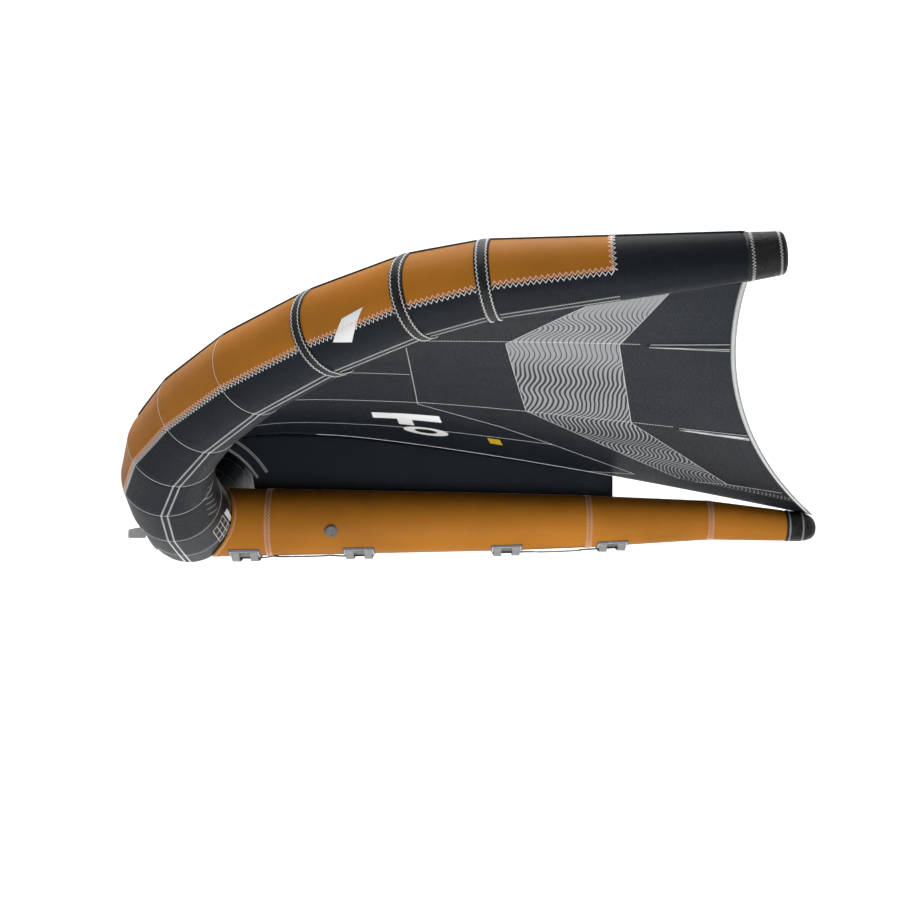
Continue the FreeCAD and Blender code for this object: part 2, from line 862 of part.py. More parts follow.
def strap_loop(name, x):
    """A webbing bridge sewn across the belly, with room for the handle's tail to pass through."""
    body = body_with(name)
    height, _ = strut_axis(x)
    surface = base_surface(x) + size("loop_gap")
    foot = math.radians(size("loop_angle"))
    foot_y = f"{surface * math.sin(foot):.3f}"
    foot_z = f"{height - surface * math.cos(foot):.3f}"
    low = f"{height - surface:.3f} - dims.loop_drop"
    outside = [
        (foot_y, foot_z),
        (f"{foot_y} + dims.loop_thickness", f"{foot_z} - dims.loop_thickness * dims.loop_foot_slant"),
        ("dims.loop_half_span + dims.loop_thickness", low),
    ]
    inside = ("dims.loop_half_span", f"{low} + dims.loop_thickness")
    mirrored_side = [(f"-({y})", z) for y, z in outside[::-1] + [inside]]
    corners = outside + mirrored_side + [inside]
    sketch = sketch_polygon(body, f"{name}_outline", "YZ_Plane", corners)
    pad(body, sketch, "dims.loop_width")
    body.Placement = FreeCAD.Placement(Vector(x, 0, 0), FreeCAD.Rotation())
    return body


def path_solid(name, points, width, thickness):
    """A flat strap whose upper face follows points in the centre plane."""
    def section(point, index):
        half = width / 2
        low = Vector(0, 0, -thickness)
        corners = [point + Vector(0, half, 0), point + Vector(0, -half, 0),
                   point + Vector(0, -half, 0) + low, point + Vector(0, half, 0) + low]
        return wire_feature(f"{name}_section{index}", corners)
    return loft(name, [section(point, index) for index, point in enumerate(points)])


def handle(place):
    """Bases, strap loops, webbing tails and the grip of one handle."""
    first, last = HANDLES[place]
    offset = size("loop_offset")
    half_base = size("base_length") / 2
    slack = size(f"{place}_grip_slack")
    bases = [handle_base(f"{place}_base{i}", x) for i, x in enumerate((first, last))]
    keep(f"{place}_handle_bases", group(f"{place}_bases", bases))
    loops = [
        strap_loop(f"{place}_loop{i}", x + side * offset)
        for i, (x, side) in enumerate(((first, -1), (first, 1), (last, -1), (last, 1)))
    ]
    keep(f"{place}_handle_loops", group(f"{place}_loops", loops))

    def under_base(x):
        return Vector(x, 0, strut_axis(x)[0] - base_surface(x) - size("tail_gap"))

    def under_belly(x, gap):
        height, radius = strut_axis(x)
        return Vector(x, 0, height - radius - gap)

    tails = []
    free = size("tail_free_length")
    inset = size("tail_inset")
    for i, (x, inward) in enumerate(((first, 1), (last, -1))):
        outer_end = x - inward * (half_base - inset)
        inner_end = x + inward * (half_base - inset)
        grip_end = x + inward * (half_base + free)
        points = [under_base(outer_end), under_base(inner_end), under_belly(grip_end, slack)]
        tails.append(path_solid(f"{place}_tail{i}", points[::inward],
                                size("webbing_width"), size("webbing_thickness")))
    keep(f"{place}_handle_tails", group(f"{place}_tails", tails))
    start = first + half_base + free + size("grip_gap")
    end = last - half_base - free - size("grip_gap")
    middle = (start + end) / 2
    middle_slack = slack + size("grip_sag")
    grip_points = [under_belly(start, slack), under_belly(middle, middle_slack), under_belly(end, slack)]
    keep(f"{place}_grip", path_solid(f"{place}_grip_pad", grip_points,
                                     size("grip_width"), size("grip_thickness")))


# ---- Neutral handle on the nose ----

def patch_radius(y):
    """Distance from the nose tube's axis to the inside of the patch, in the upright plane at y."""
    share = abs(y) / -CENTRES[1].y
    radius = ring_radius(0) * (1 - share) + ring_radius(1) * share
    return radius / math.cos(math.radians(size("stretch1_climb"))) + size("sewing_gap")


def patch_section(name, y):
    """A thin sector round the nose tube at a distance out from the centre plane."""
    share = abs(y) / -CENTRES[1].y
    side = 1 if y > 0 else -1
    centre = CENTRES[0] * (1 - share) + CENTRES[1] * share
    centre = Vector(centre.x, abs(centre.y) * side, centre.z)

    def point(turn, distance):
        angle = math.radians(turn)
        return centre + Vector(distance * math.cos(angle), 0, distance * math.sin(angle))

    first = size("patch_start_angle")
    last = size("patch_end_angle")
    middle = (first + last) / 2
    low = patch_radius(y)
    high = low + size("patch_thickness")
    edges = [
        Part.Arc(point(first, low), point(middle, low), point(last, low)).toShape(),
        Part.makeLine(point(last, low), point(last, high)),
        Part.Arc(point(last, high), point(middle, high), point(first, high)).toShape(),
        Part.makeLine(point(first, high), point(first, low)),
    ]
    feature = add("Part::Feature", name)
    feature.Shape = Part.Wire(edges)
    return feature


def nose_handle():
    half = size("patch_half_span")
    sections = [patch_section(f"nose_patch{i}", y) for i, y in enumerate((-half, 0, half))]
    keep("nose_handle_patch", loft("nose_patch", sections))
    body = body_with("nose_loop")
    reach = "dims.nose_loop_reach"
    span = "dims.nose_loop_half_span"
    thick = "dims.nose_loop_thickness"
    outside = [("0", span), (f"{reach} - 14", span), (reach, f"{span} - 14")]
    inside = [("0", f"{span} - {thick}"), (f"{reach} - 15", f"{span} - {thick}"),
              (f"{reach} - {thick}", f"{span} - 16")]
    corners = outside + [(x, f"-({y})") for x, y in outside[::-1]]
    corners += [(x, f"-({y})") for x, y in inside] + inside[::-1]
    sketch = sketch_polygon(body, "nose_loop_outline", "XY_Plane", corners)
    pad(body, sketch, "dims.nose_loop_width")
    place = nose_loop_placement()
    body.Placement = place
    roots = []
    for side, foot in (("left", f"-{span}"), ("right", f"{span} - {thick}")):
        root = add("Part::Cylinder", f"nose_loop_root_{side}")
        root.setExpression("Radius", "dims.nose_loop_width / 2")
        root.setExpression("Height", thick)
        local = FreeCAD.Placement(Vector(0, number(foot), 0), FreeCAD.Rotation(Vector(1, 0, 0), -90))
        root.Placement = place.multiply(local)
        roots.append(root)
    whole = add("Part::MultiFuse", "nose_loop_whole")
    whole.Shapes = [body] + roots
    keep("nose_handle_loop", whole)


def nose_loop_placement():
    """The loop stands level off the nose, turning about the line where its two legs are sewn on.
    Local X points forward."""
    half_span = size("nose_loop_half_span")
    share = half_span / -CENTRES[1].y
    centre = CENTRES[0] * (1 - share) + CENTRES[1] * share
    clear = patch_radius(half_span) + size("patch_thickness") + size("nose_loop_width") / 2 + 1
    below = centre.z - size("nose_loop_height")
    reach = math.sqrt(clear ** 2 - below ** 2)
    forward = Vector(-1, 0, 0)
    rotation = FreeCAD.Rotation(forward, Vector(0, 1, 0), forward.cross(Vector(0, 1, 0)), "XYZ")
    return FreeCAD.Placement(Vector(centre.x - reach, 0, size("nose_loop_height")), rotation)


# ---- Inflation valve and the hose between the bladders ----

def valve():
    """A flanged push-pin valve with a flip cap. Local Z points out of the strut."""
    body = body_with("valve_body_body")
    seat = "-dims.port_length"
    floor = "-dims.valve_depth"
    step = "dims.flange_thickness + 0.6 - dims.plug_seat_depth"
    profile = [
        ("dims.plug_seat_radius", "dims.flange_thickness + 0.6"),
        ("dims.plug_seat_radius", step),
        ("dims.port_radius", step),
        ("dims.port_radius", seat),
        ("dims.port_radius + 1.5", f"{seat} - 0.5"),
        ("dims.port_radius + 1.5", f"{floor} + 2"),
        ("dims.stem_guide_radius", f"{floor} + 2"),
        ("dims.stem_guide_radius", floor),
        ("dims.neck_radius", floor),
        ("dims.neck_radius", "-6.5"),
        ("dims.inner_flange_radius", "-6.5"),
        ("dims.inner_flange_radius", "-5"),
        ("dims.neck_radius", "-5"),
        ("dims.neck_radius", "0.6"),
        ("dims.flange_radius", "0.6"),
        ("dims.flange_radius", "dims.flange_thickness + 0.6"),
    ]
    revolve(body, sketch_polygon(body, "valve_body_profile", "XZ_Plane", profile), "V_Axis")
    body.Placement = valve_placement()
    keep("valve_body", body)

    cap = body_with("valve_cap_body")
    top = "dims.flange_thickness + 0.6 + dims.cap_gap"
    profile = [
        ("0", f"{top} + dims.cap_thickness"),
        ("dims.cap_radius - 1.2", f"{top} + dims.cap_thickness"),
        ("dims.cap_radius", f"{top} + dims.cap_thickness - 1.2"),
        ("dims.cap_radius", top),
        ("dims.plug_radius", top),
        ("dims.plug_tip_radius", f"{top} - dims.plug_length"),
        ("0", f"{top} - dims.plug_length"),
    ]
    revolve(cap, sketch_polygon(cap, "valve_cap_profile", "XZ_Plane", profile), "V_Axis")
    cap.Placement = valve_placement()
    knuckle = add("Part::Cylinder", "valve_knuckle")
    knuckle.setExpression("Radius", "dims.knuckle_radius")
    knuckle.setExpression("Height", "dims.knuckle_length")
    hinge = valve_hinge_point()
    knuckle.Placement = FreeCAD.Placement(
        hinge - valve_hinge_direction() * (size("knuckle_length") / 2),
        FreeCAD.Rotation(UP, valve_hinge_direction()))
    tongue = add("Part::Box", "valve_tongue")
    tongue.setExpression("Length", "dims.hinge_offset - dims.cap_radius + dims.tongue_overlap")
    tongue.setExpression("Width", "dims.tongue_width")
    tongue.setExpression("Height", "dims.tongue_thickness")
    tongue_corner = Vector(
        size("cap_radius") - size("tongue_overlap"),
        -size("tongue_width") / 2,
        number(top) + size("knuckle_radius") - size("tongue_thickness") / 2)
    local = FreeCAD.Placement(tongue_corner, FreeCAD.Rotation())
    tongue.Placement = valve_placement().multiply(local)
    whole = add("Part::MultiFuse", "valve_cap_whole")
    whole.Shapes = [cap, knuckle, tongue]
    keep("valve_cap", whole)

    plunger = body_with("valve_plunger_body")
    face = "-dims.port_length - 1.6"
    profile = [
        ("0", f"{face} + 1"),
        ("dims.plunger_stem_radius", f"{face} + 1"),
        ("dims.plunger_stem_radius", face),
        ("dims.plunger_radius", face),
        ("dims.plunger_radius", f"{face} - dims.plunger_thickness"),
        ("dims.plunger_stem_radius", f"{face} - dims.plunger_thickness"),
        ("dims.plunger_stem_radius", f"{face} - dims.plunger_stem_length"),
        ("0", f"{face} - dims.plunger_stem_length"),
    ]
    revolve(plunger, sketch_polygon(plunger, "valve_plunger_profile", "XZ_Plane", profile), "V_Axis")
    plunger.Placement = valve_placement()
    keep("valve_plunger", plunger)


def valve_hinge_direction():
    """The cap's hinge line, level round the strut's flank."""
    return valve_placement().Rotation.multVec(Vector(0, 1, 0))


def valve_hinge_point():
    top = size("flange_thickness") + 0.6 + size("cap_gap")
    return valve_placement().multVec(Vector(size("hinge_offset"), 0, top + size("knuckle_radius")))


def transfer_hose():
    body = body_with("hose_body")
    front = "dims.hose_front_x"
    rear = "dims.hose_rear_x"
    profile = [
        (front, "dims.hose_radius - dims.hose_wall"),
        (rear, "dims.hose_radius - dims.hose_wall"),
        (rear, "dims.hose_radius"),
        (front, "dims.hose_radius"),
    ]
    revolve(body, sketch_polygon(body, "hose_profile", "XZ_Plane", profile), "H_Axis")
    body.Placement = FreeCAD.Placement(
        Vector(0, size("hose_side_offset"), size("nose_height")), FreeCAD.Rotation())
    keep("transfer_hose", body)


def check():
    """Stops if any object failed to compute, or a sub-part is null, invalid or not solid."""
    for feature in doc.Objects:
        if "Invalid" in feature.State or "Error" in feature.State:
            raise SystemExit(f"{feature.Name} failed: {feature.State}")
    for name, feature in nodes.items():
        shape = feature.Shape
        if shape.isNull() or not shape.isValid() or not shape.Solids:
            raise SystemExit(f"{name} has no valid solid")


def write():
    os.makedirs("parts", exist_ok=True)
    for name, feature in nodes.items():
        feature.Shape.exportStep(f"parts/{name}.step")


fill_sheet()
CENTRES, NORMALS = left_rings()
leading_edge_casing()
leading_edge_bladder()
tip_cap()
ring_bands()
bumper_strip()
strut_casing()
strut_bladder()
strut_end_cap()
canopy()
hem()
battens_and_pockets()
keel_web()
handle("front")
handle("rear")
nose_handle()
valve()
transfer_hose()
doc.recompute()
check()
write()
print(len(nodes), "sub-parts")
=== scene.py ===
import json
import math

import bpy
import numpy as np
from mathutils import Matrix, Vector, kdtree


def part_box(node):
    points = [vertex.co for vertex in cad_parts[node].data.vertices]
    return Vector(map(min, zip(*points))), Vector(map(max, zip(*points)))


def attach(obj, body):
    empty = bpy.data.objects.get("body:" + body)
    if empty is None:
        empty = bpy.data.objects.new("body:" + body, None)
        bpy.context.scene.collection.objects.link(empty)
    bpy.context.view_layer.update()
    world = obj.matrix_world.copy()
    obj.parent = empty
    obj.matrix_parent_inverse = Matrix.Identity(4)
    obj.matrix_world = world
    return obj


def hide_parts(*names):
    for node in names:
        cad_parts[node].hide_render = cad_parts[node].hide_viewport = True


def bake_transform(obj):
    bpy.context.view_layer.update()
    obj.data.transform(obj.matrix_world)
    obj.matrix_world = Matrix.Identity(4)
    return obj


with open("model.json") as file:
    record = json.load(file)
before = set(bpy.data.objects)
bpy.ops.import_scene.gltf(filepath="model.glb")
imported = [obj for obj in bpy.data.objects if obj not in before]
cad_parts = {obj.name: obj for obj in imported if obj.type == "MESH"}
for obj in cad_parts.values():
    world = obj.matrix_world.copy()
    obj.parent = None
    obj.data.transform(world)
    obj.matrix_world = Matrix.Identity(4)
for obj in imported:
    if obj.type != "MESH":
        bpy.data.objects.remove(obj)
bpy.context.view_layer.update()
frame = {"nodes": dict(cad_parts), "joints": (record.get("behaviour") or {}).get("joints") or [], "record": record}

# Metres. Angles round a tube are in degrees in its seam plane: 0 points inboard or rearward,
# 90 up, 180 outboard or forward. u counts the leading edge's seams outward from the nose.
UP = np.array([0.0, 0.0, 1.0])
LEFTWARD = np.array([0.0, -1.0, 0.0])
MIRROR = np.array([1.0, -1.0, 1.0])
SIDES = ("left", "right")
MM = 0.001

STRIP_START = 4.27
ORANGE_END = 9.493
BANDED_SEAMS = (7, 8, 9)
THREAD_WIDTH = 2.4 * MM
CLOTH_LIFT = 0.7 * MM

# Pitch, swing to each side and thread width of each zigzag.
ZIGZAGS = {
    "colour seam": (12 * MM, 4.2 * MM, THREAD_WIDTH),
    "belly seam": (6 * MM, 2.4 * MM, 1.3 * MM),
    "seam band": (9 * MM, 1.9 * MM, 1.7 * MM),
    "chafe strip": (7 * MM, 1.6 * MM, 1.4 * MM),
    "tip cap root": (7 * MM, 3.12 * MM, 1.6 * MM),
    "tip cap end": (7 * MM, 2.47 * MM, 1.6 * MM),
    "hem": (5 * MM, 4.5 * MM, 2.2 * MM),
    "pocket": (5 * MM, 1.2 * MM, 1.5 * MM),
    "strut seam": (10 * MM, 4 * MM, 2.4 * MM),
    "saddle": (9 * MM, 3 * MM, 1.7 * MM),
    "strut top": (8 * MM, 1.8 * MM, 1.3 * MM),
    "end cap": (8 * MM, 2.2 * MM, 1.5 * MM),
    "base plate": (5 * MM, 1.8 * MM, 1.5 * MM),
}
# Stitch length, gap and thread width of each row of straight stitches.
DASHES = {
    "tube seam": (4.5 * MM, 1.6 * MM, 1.5 * MM),
    "canopy seam": (5 * MM, 2 * MM, 1.5 * MM),
    "band edge": (4 * MM, 1.5 * MM, 1.4 * MM),
    "web arc": (4 * MM, 1.6 * MM, 1.3 * MM),
    "grip": (4 * MM, 2 * MM, 1.1 * MM),
}


# ---- Small sums ----

def unit(vectors):
    return vectors / np.linalg.norm(vectors, axis=-1)[..., None]


def arc_lengths(points):
    """Distance along a polyline to each of its points."""
    return np.concatenate([[0], np.cumsum(np.linalg.norm(np.diff(points, axis=0), axis=1))])


def points_between(at, known, values):
    """Rows of values, interpolated."""
    return np.stack([np.interp(at, known, values[:, i]) for i in range(3)], -1)


def round_from_top(count):
    """Angles once round a tube, starting at its top."""
    return np.linspace(90, 450, count)


# ---- What the frame says ----

def node_vertices(node):
    mesh = frame["nodes"][node].data
    flat = np.empty(len(mesh.vertices) * 3)
    mesh.vertices.foreach_get("co", flat)
    return flat.reshape(-1, 3)


def ring_of(points):
    """Centre, radius and plane normal of the outermost circle through points."""
    middle = points.mean(axis=0)
    axes = np.linalg.svd(points - middle)[2]
    flat = (points - middle) @ axes[:2].T
    outer = flat
    for _ in range(4):
        equations = np.c_[2 * outer, np.ones(len(outer))]
        fit = np.linalg.lstsq(equations, (outer ** 2).sum(1), rcond=None)[0]
        reach = np.linalg.norm(flat - fit[:2], axis=1)
        outer = flat[reach > reach.max() - 0.9 * MM]
    return middle + fit[:2] @ axes[:2], reach.max(), axes[2]


def shared_ring(first, second, reach=0.7 * MM):
    """The round seam where two CAD nodes meet."""
    others = node_vertices(second)
    tree = kdtree.KDTree(len(others))
    for i, point in enumerate(others):
        tree.insert(point, i)
    tree.balance()
    near = [point for point in node_vertices(first) if tree.find(point)[2] < reach]
    return ring_of(np.array(near))


def leading_edge_rings():
    nose = node_vertices("leading_edge_nose")
    rings = [ring_of(nose[np.abs(nose[:, 1]) < 0.01 * MM])]
    chain = ["leading_edge_nose"] + [f"leading_edge_left_{i}" for i in range(1, 10)]
    for before, after in zip(chain, chain[1:]):
        rings.append(shared_ring(before, after))
    rings.append(shared_ring(chain[-1], "tip_cap_left"))
    return rings


def outboard(rings):
    """The rings' normals, all pointing towards the tip."""
    normals = []
    for i, (_, _, normal) in enumerate(rings):
        after = rings[min(i + 1, len(rings) - 1)][0]
        before = rings[max(i - 1, 0)][0]
        toward = (after - before) if i else LEFTWARD
        normals.append(normal if normal @ toward > 0 else -normal)
    return np.array(normals)


RINGS = leading_edge_rings()
CENTRES = np.array([ring[0] for ring in RINGS])
RADII = np.array([ring[1] for ring in RINGS])
NORMALS = outboard(RINGS)
INBOARD = unit(np.cross(UP, NORMALS))
UPWARD = np.cross(NORMALS, INBOARD)
LENGTHS = np.linalg.norm(np.diff(CENTRES, axis=0), axis=1)
ALONG = arc_lengths(CENTRES)
LAST = len(RINGS) - 1


def tube_points(u, angle, lift=0.0):
    """Points on the left half's tube, lifted off its surface."""
    u, angle, lift = np.broadcast_arrays(np.asarray(u, float), angle, lift)
    k = np.clip(u.astype(int), 0, LAST - 1)
    t = (u - k)[..., None]
    turn = np.radians(angle)[..., None]

    def at(index):
        spoke = np.cos(turn) * INBOARD[index] + np.sin(turn) * UPWARD[index]
        return CENTRES[index] + (RADII[index] + lift)[..., None] * spoke

    return at(k) * (1 - t) + at(k + 1) * t


def tube_radius(u):
    return np.interp(u, range(LAST + 1), RADII)


def along_tube(u):
    """Distance along the tube's axis from the nose."""
    return np.interp(u, range(LAST + 1), ALONG)


def seam_offset(seam, distance):
    """The u at a distance from a seam, along the tube."""
    return float(np.interp(ALONG[seam] + distance, ALONG, range(LAST + 1)))


# ---- Materials ----

class Shader:
    """A Principled material with short ways to add and link its nodes."""

    def __init__(self, name, colour, roughness, **sockets):
        self.material = bpy.data.materials.new(name)
        self.material.use_nodes = True
        self.tree = self.material.node_tree
        self.surface = self.tree.nodes["Principled BSDF"]
        self.surface.inputs["Base Color"].default_value = (*colour, 1)
        self.surface.inputs["Roughness"].default_value = roughness
        for socket, value in sockets.items():
            self.surface.inputs[socket.replace("_", " ")].default_value = value
        self.material.diffuse_color = (*colour, 1)

    def node(self, kind, inputs=(), **settings):
        node = self.tree.nodes.new(kind)
        for setting, value in settings.items():
            setattr(node, setting, value)
        for socket, value in dict(inputs).items():
            if isinstance(value, bpy.types.NodeSocket):
                self.tree.links.new(value, node.inputs[socket])
            else:
                node.inputs[socket].default_value = value
        return node

    def uv(self, scale=(1, 1, 1)):
        source = self.node("ShaderNodeUVMap", uv_map="metres")
        return self.node("ShaderNodeMapping", {"Vector": source.outputs[0], "Scale": scale}).outputs[0]

    def place(self):
        return self.node("ShaderNodeTexCoord").outputs["Object"]

    def noise(self, vector, scale, detail=3, roughness=0.55):
        inputs = {"Vector": vector, "Scale": scale, "Detail": detail, "Roughness": roughness}
        return self.node("ShaderNodeTexNoise", inputs).outputs["Fac"]

    def math(self, operation, first, second=0.0):
        return self.node("ShaderNodeMath", {0: first, 1: second}, operation=operation).outputs[0]

    def ramp(self, value, low, high):
        inputs = {"Value": value, "From Min": low, "From Max": high}
        return self.node("ShaderNodeMapRange", inputs).outputs[0]

    def blend(self, share, first, second):
        node = self.node("ShaderNodeMix", data_type="RGBA")
        sockets = (node.inputs["Factor"], node.inputs[6], node.inputs[7])
        for socket, value in zip(sockets, (share, first, second)):
            if isinstance(value, bpy.types.NodeSocket):
                self.tree.links.new(value, socket)
            else:
                socket.default_value = (*value, 1) if isinstance(value, tuple) else value
        return node.outputs[2]

    def paint(self, colour):
        self.tree.links.new(colour, self.surface.inputs["Base Color"])

    def gloss(self, roughness):
        self.tree.links.new(roughness, self.surface.inputs["Roughness"])

    def bump(self, *layers):
        """Stacks bumps: each layer is (height, strength, depth in metres)."""
        normal = None
        for height, strength, depth in layers:
            inputs = {"Height": height, "Strength": strength, "Distance": depth}
            if normal is not None:
                inputs["Normal"] = normal
            normal = self.node("ShaderNodeBump", inputs).outputs[0]
        self.tree.links.new(normal, self.surface.inputs["Normal"])


CLOTH_THREAD = 1.6 * MM
COATED_THREAD = 2.4 * MM


def shade(colour, factor):
    return tuple(min(1.0, channel * factor) for channel in colour)


def weave_height(shader, thread):
    """Over-and-under height of a plain weave whose threads are that far apart."""
    split = shader.node("ShaderNodeSeparateXYZ", {0: shader.uv((math.tau / thread,) * 3)})
    warp = shader.math("SINE", split.outputs[0])
    weft = shader.math("SINE", split.outputs[1])
    return shader.math("MULTIPLY", warp, weft)


def grid_lines(shader, spacing, width):
    """1 on the lines of a square grid, 0 between them."""
    split = shader.node("ShaderNodeSeparateXYZ", {0: shader.uv((1 / spacing,) * 3)})
    lines = [shader.math("LESS_THAN", shader.math("FRACT", split.outputs[i]), width) for i in (0, 1)]
    return shader.math("MAXIMUM", *lines)


def cloth(name, colour, roughness=0.6, grid=None, wrinkle=(14, 3, 1), wrinkle_depth=2 * MM):
    """Woven cloth: weave and creases in the bump, faded and darker areas in the colour."""
    shader = Shader(name, colour, roughness, Specular_IOR_Level=0.07)
    broad = shader.noise(shader.place(), 3.5, 4)
    fine = shader.noise(shader.uv(), 160, 2)
    tone = shader.blend(shader.ramp(broad, 0.35, 0.7), shade(colour, 0.82), shade(colour, 1.14))
    tone = shader.blend(shader.math("MULTIPLY", fine, 0.35), tone, shade(colour, 0.7))
    layers = [(weave_height(shader, CLOTH_THREAD), 0.25, 0.25 * MM)]
    if grid:
        lines = grid_lines(shader, grid, 0.16)
        tone = shader.blend(shader.math("MULTIPLY", lines, 0.5), tone, shade(colour, 1.9))
        layers.append((lines, 0.5, 0.2 * MM))
    creases = shader.noise(shader.uv(wrinkle), 1.0, 5, 0.6)
    layers.append((creases, 0.6, wrinkle_depth))
    shader.paint(tone)
    shader.gloss(shader.ramp(fine, -1.2 + roughness, 1.9 - roughness / 3))
    shader.bump(*layers)
    return shader.material


def coated(name, colour, roughness=0.42):
    """Coated reinforcing cloth: a faint weave under a skin with scuffs."""
    shader = Shader(name, colour, roughness, Specular_IOR_Level=0.15)
    scuffs = shader.noise(shader.place(), 45, 6, 0.7)
    shader.paint(shader.blend(shader.ramp(scuffs, 0.55, 0.8), colour, shade(colour, 2.6)))
    shader.gloss(shader.ramp(scuffs, 0.2, 1.1))
    dents = shader.noise(shader.uv(), 30, 4)
    shader.bump((weave_height(shader, COATED_THREAD), 0.5, 0.3 * MM), (dents, 0.3, 1 * MM))
    return shader.material


def webbing(name, colour):
    """Ribbed woven strap, with painted shade in the grooves between its ribs and a painted highlight on their
    crests.
    """
    shader = Shader(name, colour, 0.7, Sheen_Weight=0.2)
    split = shader.node("ShaderNodeSeparateXYZ", {0: shader.uv((1, 1, 1))})
    ribs = shader.math("SINE", shader.math("MULTIPLY", split.outputs[0], math.tau / (2.2 * MM)))
    lanes = shader.math("SINE", shader.math("MULTIPLY", split.outputs[1], math.tau / (4.4 * MM)))
    lanes = shader.math("ADD", shader.math("MULTIPLY", lanes, 0.4), 0.8)
    height = shader.math("MULTIPLY", ribs, lanes)
    wear = shader.noise(shader.place(), 60, 4)
    # Painted shade and painted highlight: the ribs' grooves are coloured darker and their crests lighter,
    # following the rib height.
    tone = shader.blend(shader.ramp(height, -1, 1), shade(colour, 0.72), shade(colour, 1.12))
    shader.paint(shader.blend(shader.math("MULTIPLY", wear, 0.4), tone, shade(colour, 1.35)))
    shader.bump((height, 0.7, 0.5 * MM))
    return shader.material


def thread_material(name, colour):
    """Twisted sewing thread."""
    shader = Shader(name, colour, 0.55, Sheen_Weight=0.3)
    grey = shader.noise(shader.place(), 500, 2)
    shader.paint(shader.blend(grey, shade(colour, 0.72), shade(colour, 1.12)))
    shader.bump((grey, 0.4, 0.3 * MM))
    return shader.material


def moulded(name, colour, roughness=0.45):
    """Moulded plastic or foam with a fine grain."""
    shader = Shader(name, colour, roughness)
    grain = shader.noise(shader.place(), 900, 3)
    marks = shader.noise(shader.place(), 70, 5)
    shader.paint(shader.blend(shader.ramp(marks, 0.5, 0.75), colour, shade(colour, 1.5)))
    shader.gloss(shader.ramp(marks, -0.6 + roughness, 1.9))
    shader.bump((grain, 0.35, 0.15 * MM))
    return shader.material


def film(name, colour):
    """Translucent bladder film."""
    shader = Shader(name, colour, 0.25, Alpha=0.6)
    cloud = shader.noise(shader.place(), 8, 3)
    shader.paint(shader.blend(cloud, shade(colour, 0.85), shade(colour, 1.05)))
    shader.bump((shader.noise(shader.place(), 25, 4), 0.4, 2 * MM))
    return shader.material


def wavy_print(name, ground, ink):
    """A light printed band: thin lines across the chord that sway and thicken along the span."""
    shader = Shader(name, ground, 0.6, Specular_IOR_Level=0.18)
    split = shader.node("ShaderNodeSeparateXYZ", {0: shader.uv()})
    span, chord = split.outputs[0], split.outputs[1]
    sway = shader.math("SINE", shader.math("MULTIPLY", span, math.tau / 0.16))
    sway = shader.math("MULTIPLY", sway, 9 * MM)
    swell = shader.noise(shader.uv((7, 3.2, 1)), 1.0, 1)
    swell = shader.math("MULTIPLY", swell, 60 * MM)
    shifted = shader.math("ADD", chord, shader.math("ADD", sway, swell))
    line = shader.math("SINE", shader.math("MULTIPLY", shifted, math.tau / (11.5 * MM)))
    breadth = shader.ramp(span, 0.25, 1.15)
    wave = shader.math("SINE", shader.math("MULTIPLY", span, math.tau / 0.34))
    level = shader.math("SUBTRACT", shader.math("MULTIPLY", breadth, 1.5),
                        shader.math("MULTIPLY", wave, 0.25))
    mask = shader.ramp(shader.math("ADD", line, level), 0.35, 0.85)
    strands = shader.math("SINE", shader.math("MULTIPLY", span, math.tau / (4 * MM)))
    mask = shader.math("MULTIPLY", mask, shader.ramp(strands, -1.6, 0.6))
    shader.paint(shader.blend(mask, ground, ink))
    shader.bump((weave_height(shader, CLOTH_THREAD), 0.25, 0.25 * MM), (mask, 0.2, 0.2 * MM))
    return shader.material


def colour_of(slot):
    """A material slot's colour, from the record."""
    found = next(entry for entry in frame["record"]["materials"] if entry["slot"] == slot)
    return tuple(found["base_color"][:3])


ORANGE = colour_of("casing_orange")
DARK = shade(colour_of("casing_dark"), 0.65)
CANOPY = shade(colour_of("canopy"), 0.7)
WHITE_INK = (0.72, 0.73, 0.73)
ROSE = (0.78, 0.47, 0.36)
MATERIALS = {
    "casing_orange": cloth("orange_casing_cloth", ORANGE, 0.42, wrinkle=(10, 5, 1),
                           wrinkle_depth=1.5 * MM),
    "casing_dark": cloth("dark_casing_cloth", DARK, 0.55, wrinkle=(90, 5, 1),
                         wrinkle_depth=1.6 * MM),
    "canopy": cloth("canopy_ripstop", CANOPY, 0.5, grid=7 * MM, wrinkle=(5, 3, 1),
                    wrinkle_depth=4 * MM),
    "hem_tape": cloth("hem_tape_cloth", shade(colour_of("hem_tape"), 0.35), 0.6),
    "reinforcement": coated("black_reinforcement", colour_of("reinforcement")),
    "handle_base": coated("handle_base_cloth", colour_of("handle_base"), 0.5),
    "webbing_grey": webbing("grey_webbing", shade(colour_of("webbing_grey"), 0.5)),
    "webbing_dark": webbing("black_webbing", colour_of("webbing_dark")),
    "grip": moulded("grip_foam", colour_of("grip"), 0.8),
    "valve_plastic": moulded("valve_plastic", colour_of("valve_plastic")),
    "batten": moulded("batten_fibre", colour_of("batten"), 0.5),
    "bladder": film("bladder_film", colour_of("bladder")),
    "white_thread": thread_material("white_thread", WHITE_INK),
    "rose_thread": thread_material("rose_thread", ROSE),
    "white_print": cloth("white_print", WHITE_INK, 0.6),
    "grey_print": cloth("grey_print", (0.2, 0.205, 0.21), 0.6),
    "yellow_print": cloth("yellow_print", (0.5, 0.33, 0.02), 0.6),
    "wavy_print": wavy_print("wavy_print", CANOPY, (0.33, 0.345, 0.35)),
}


# ---- Mesh making ----

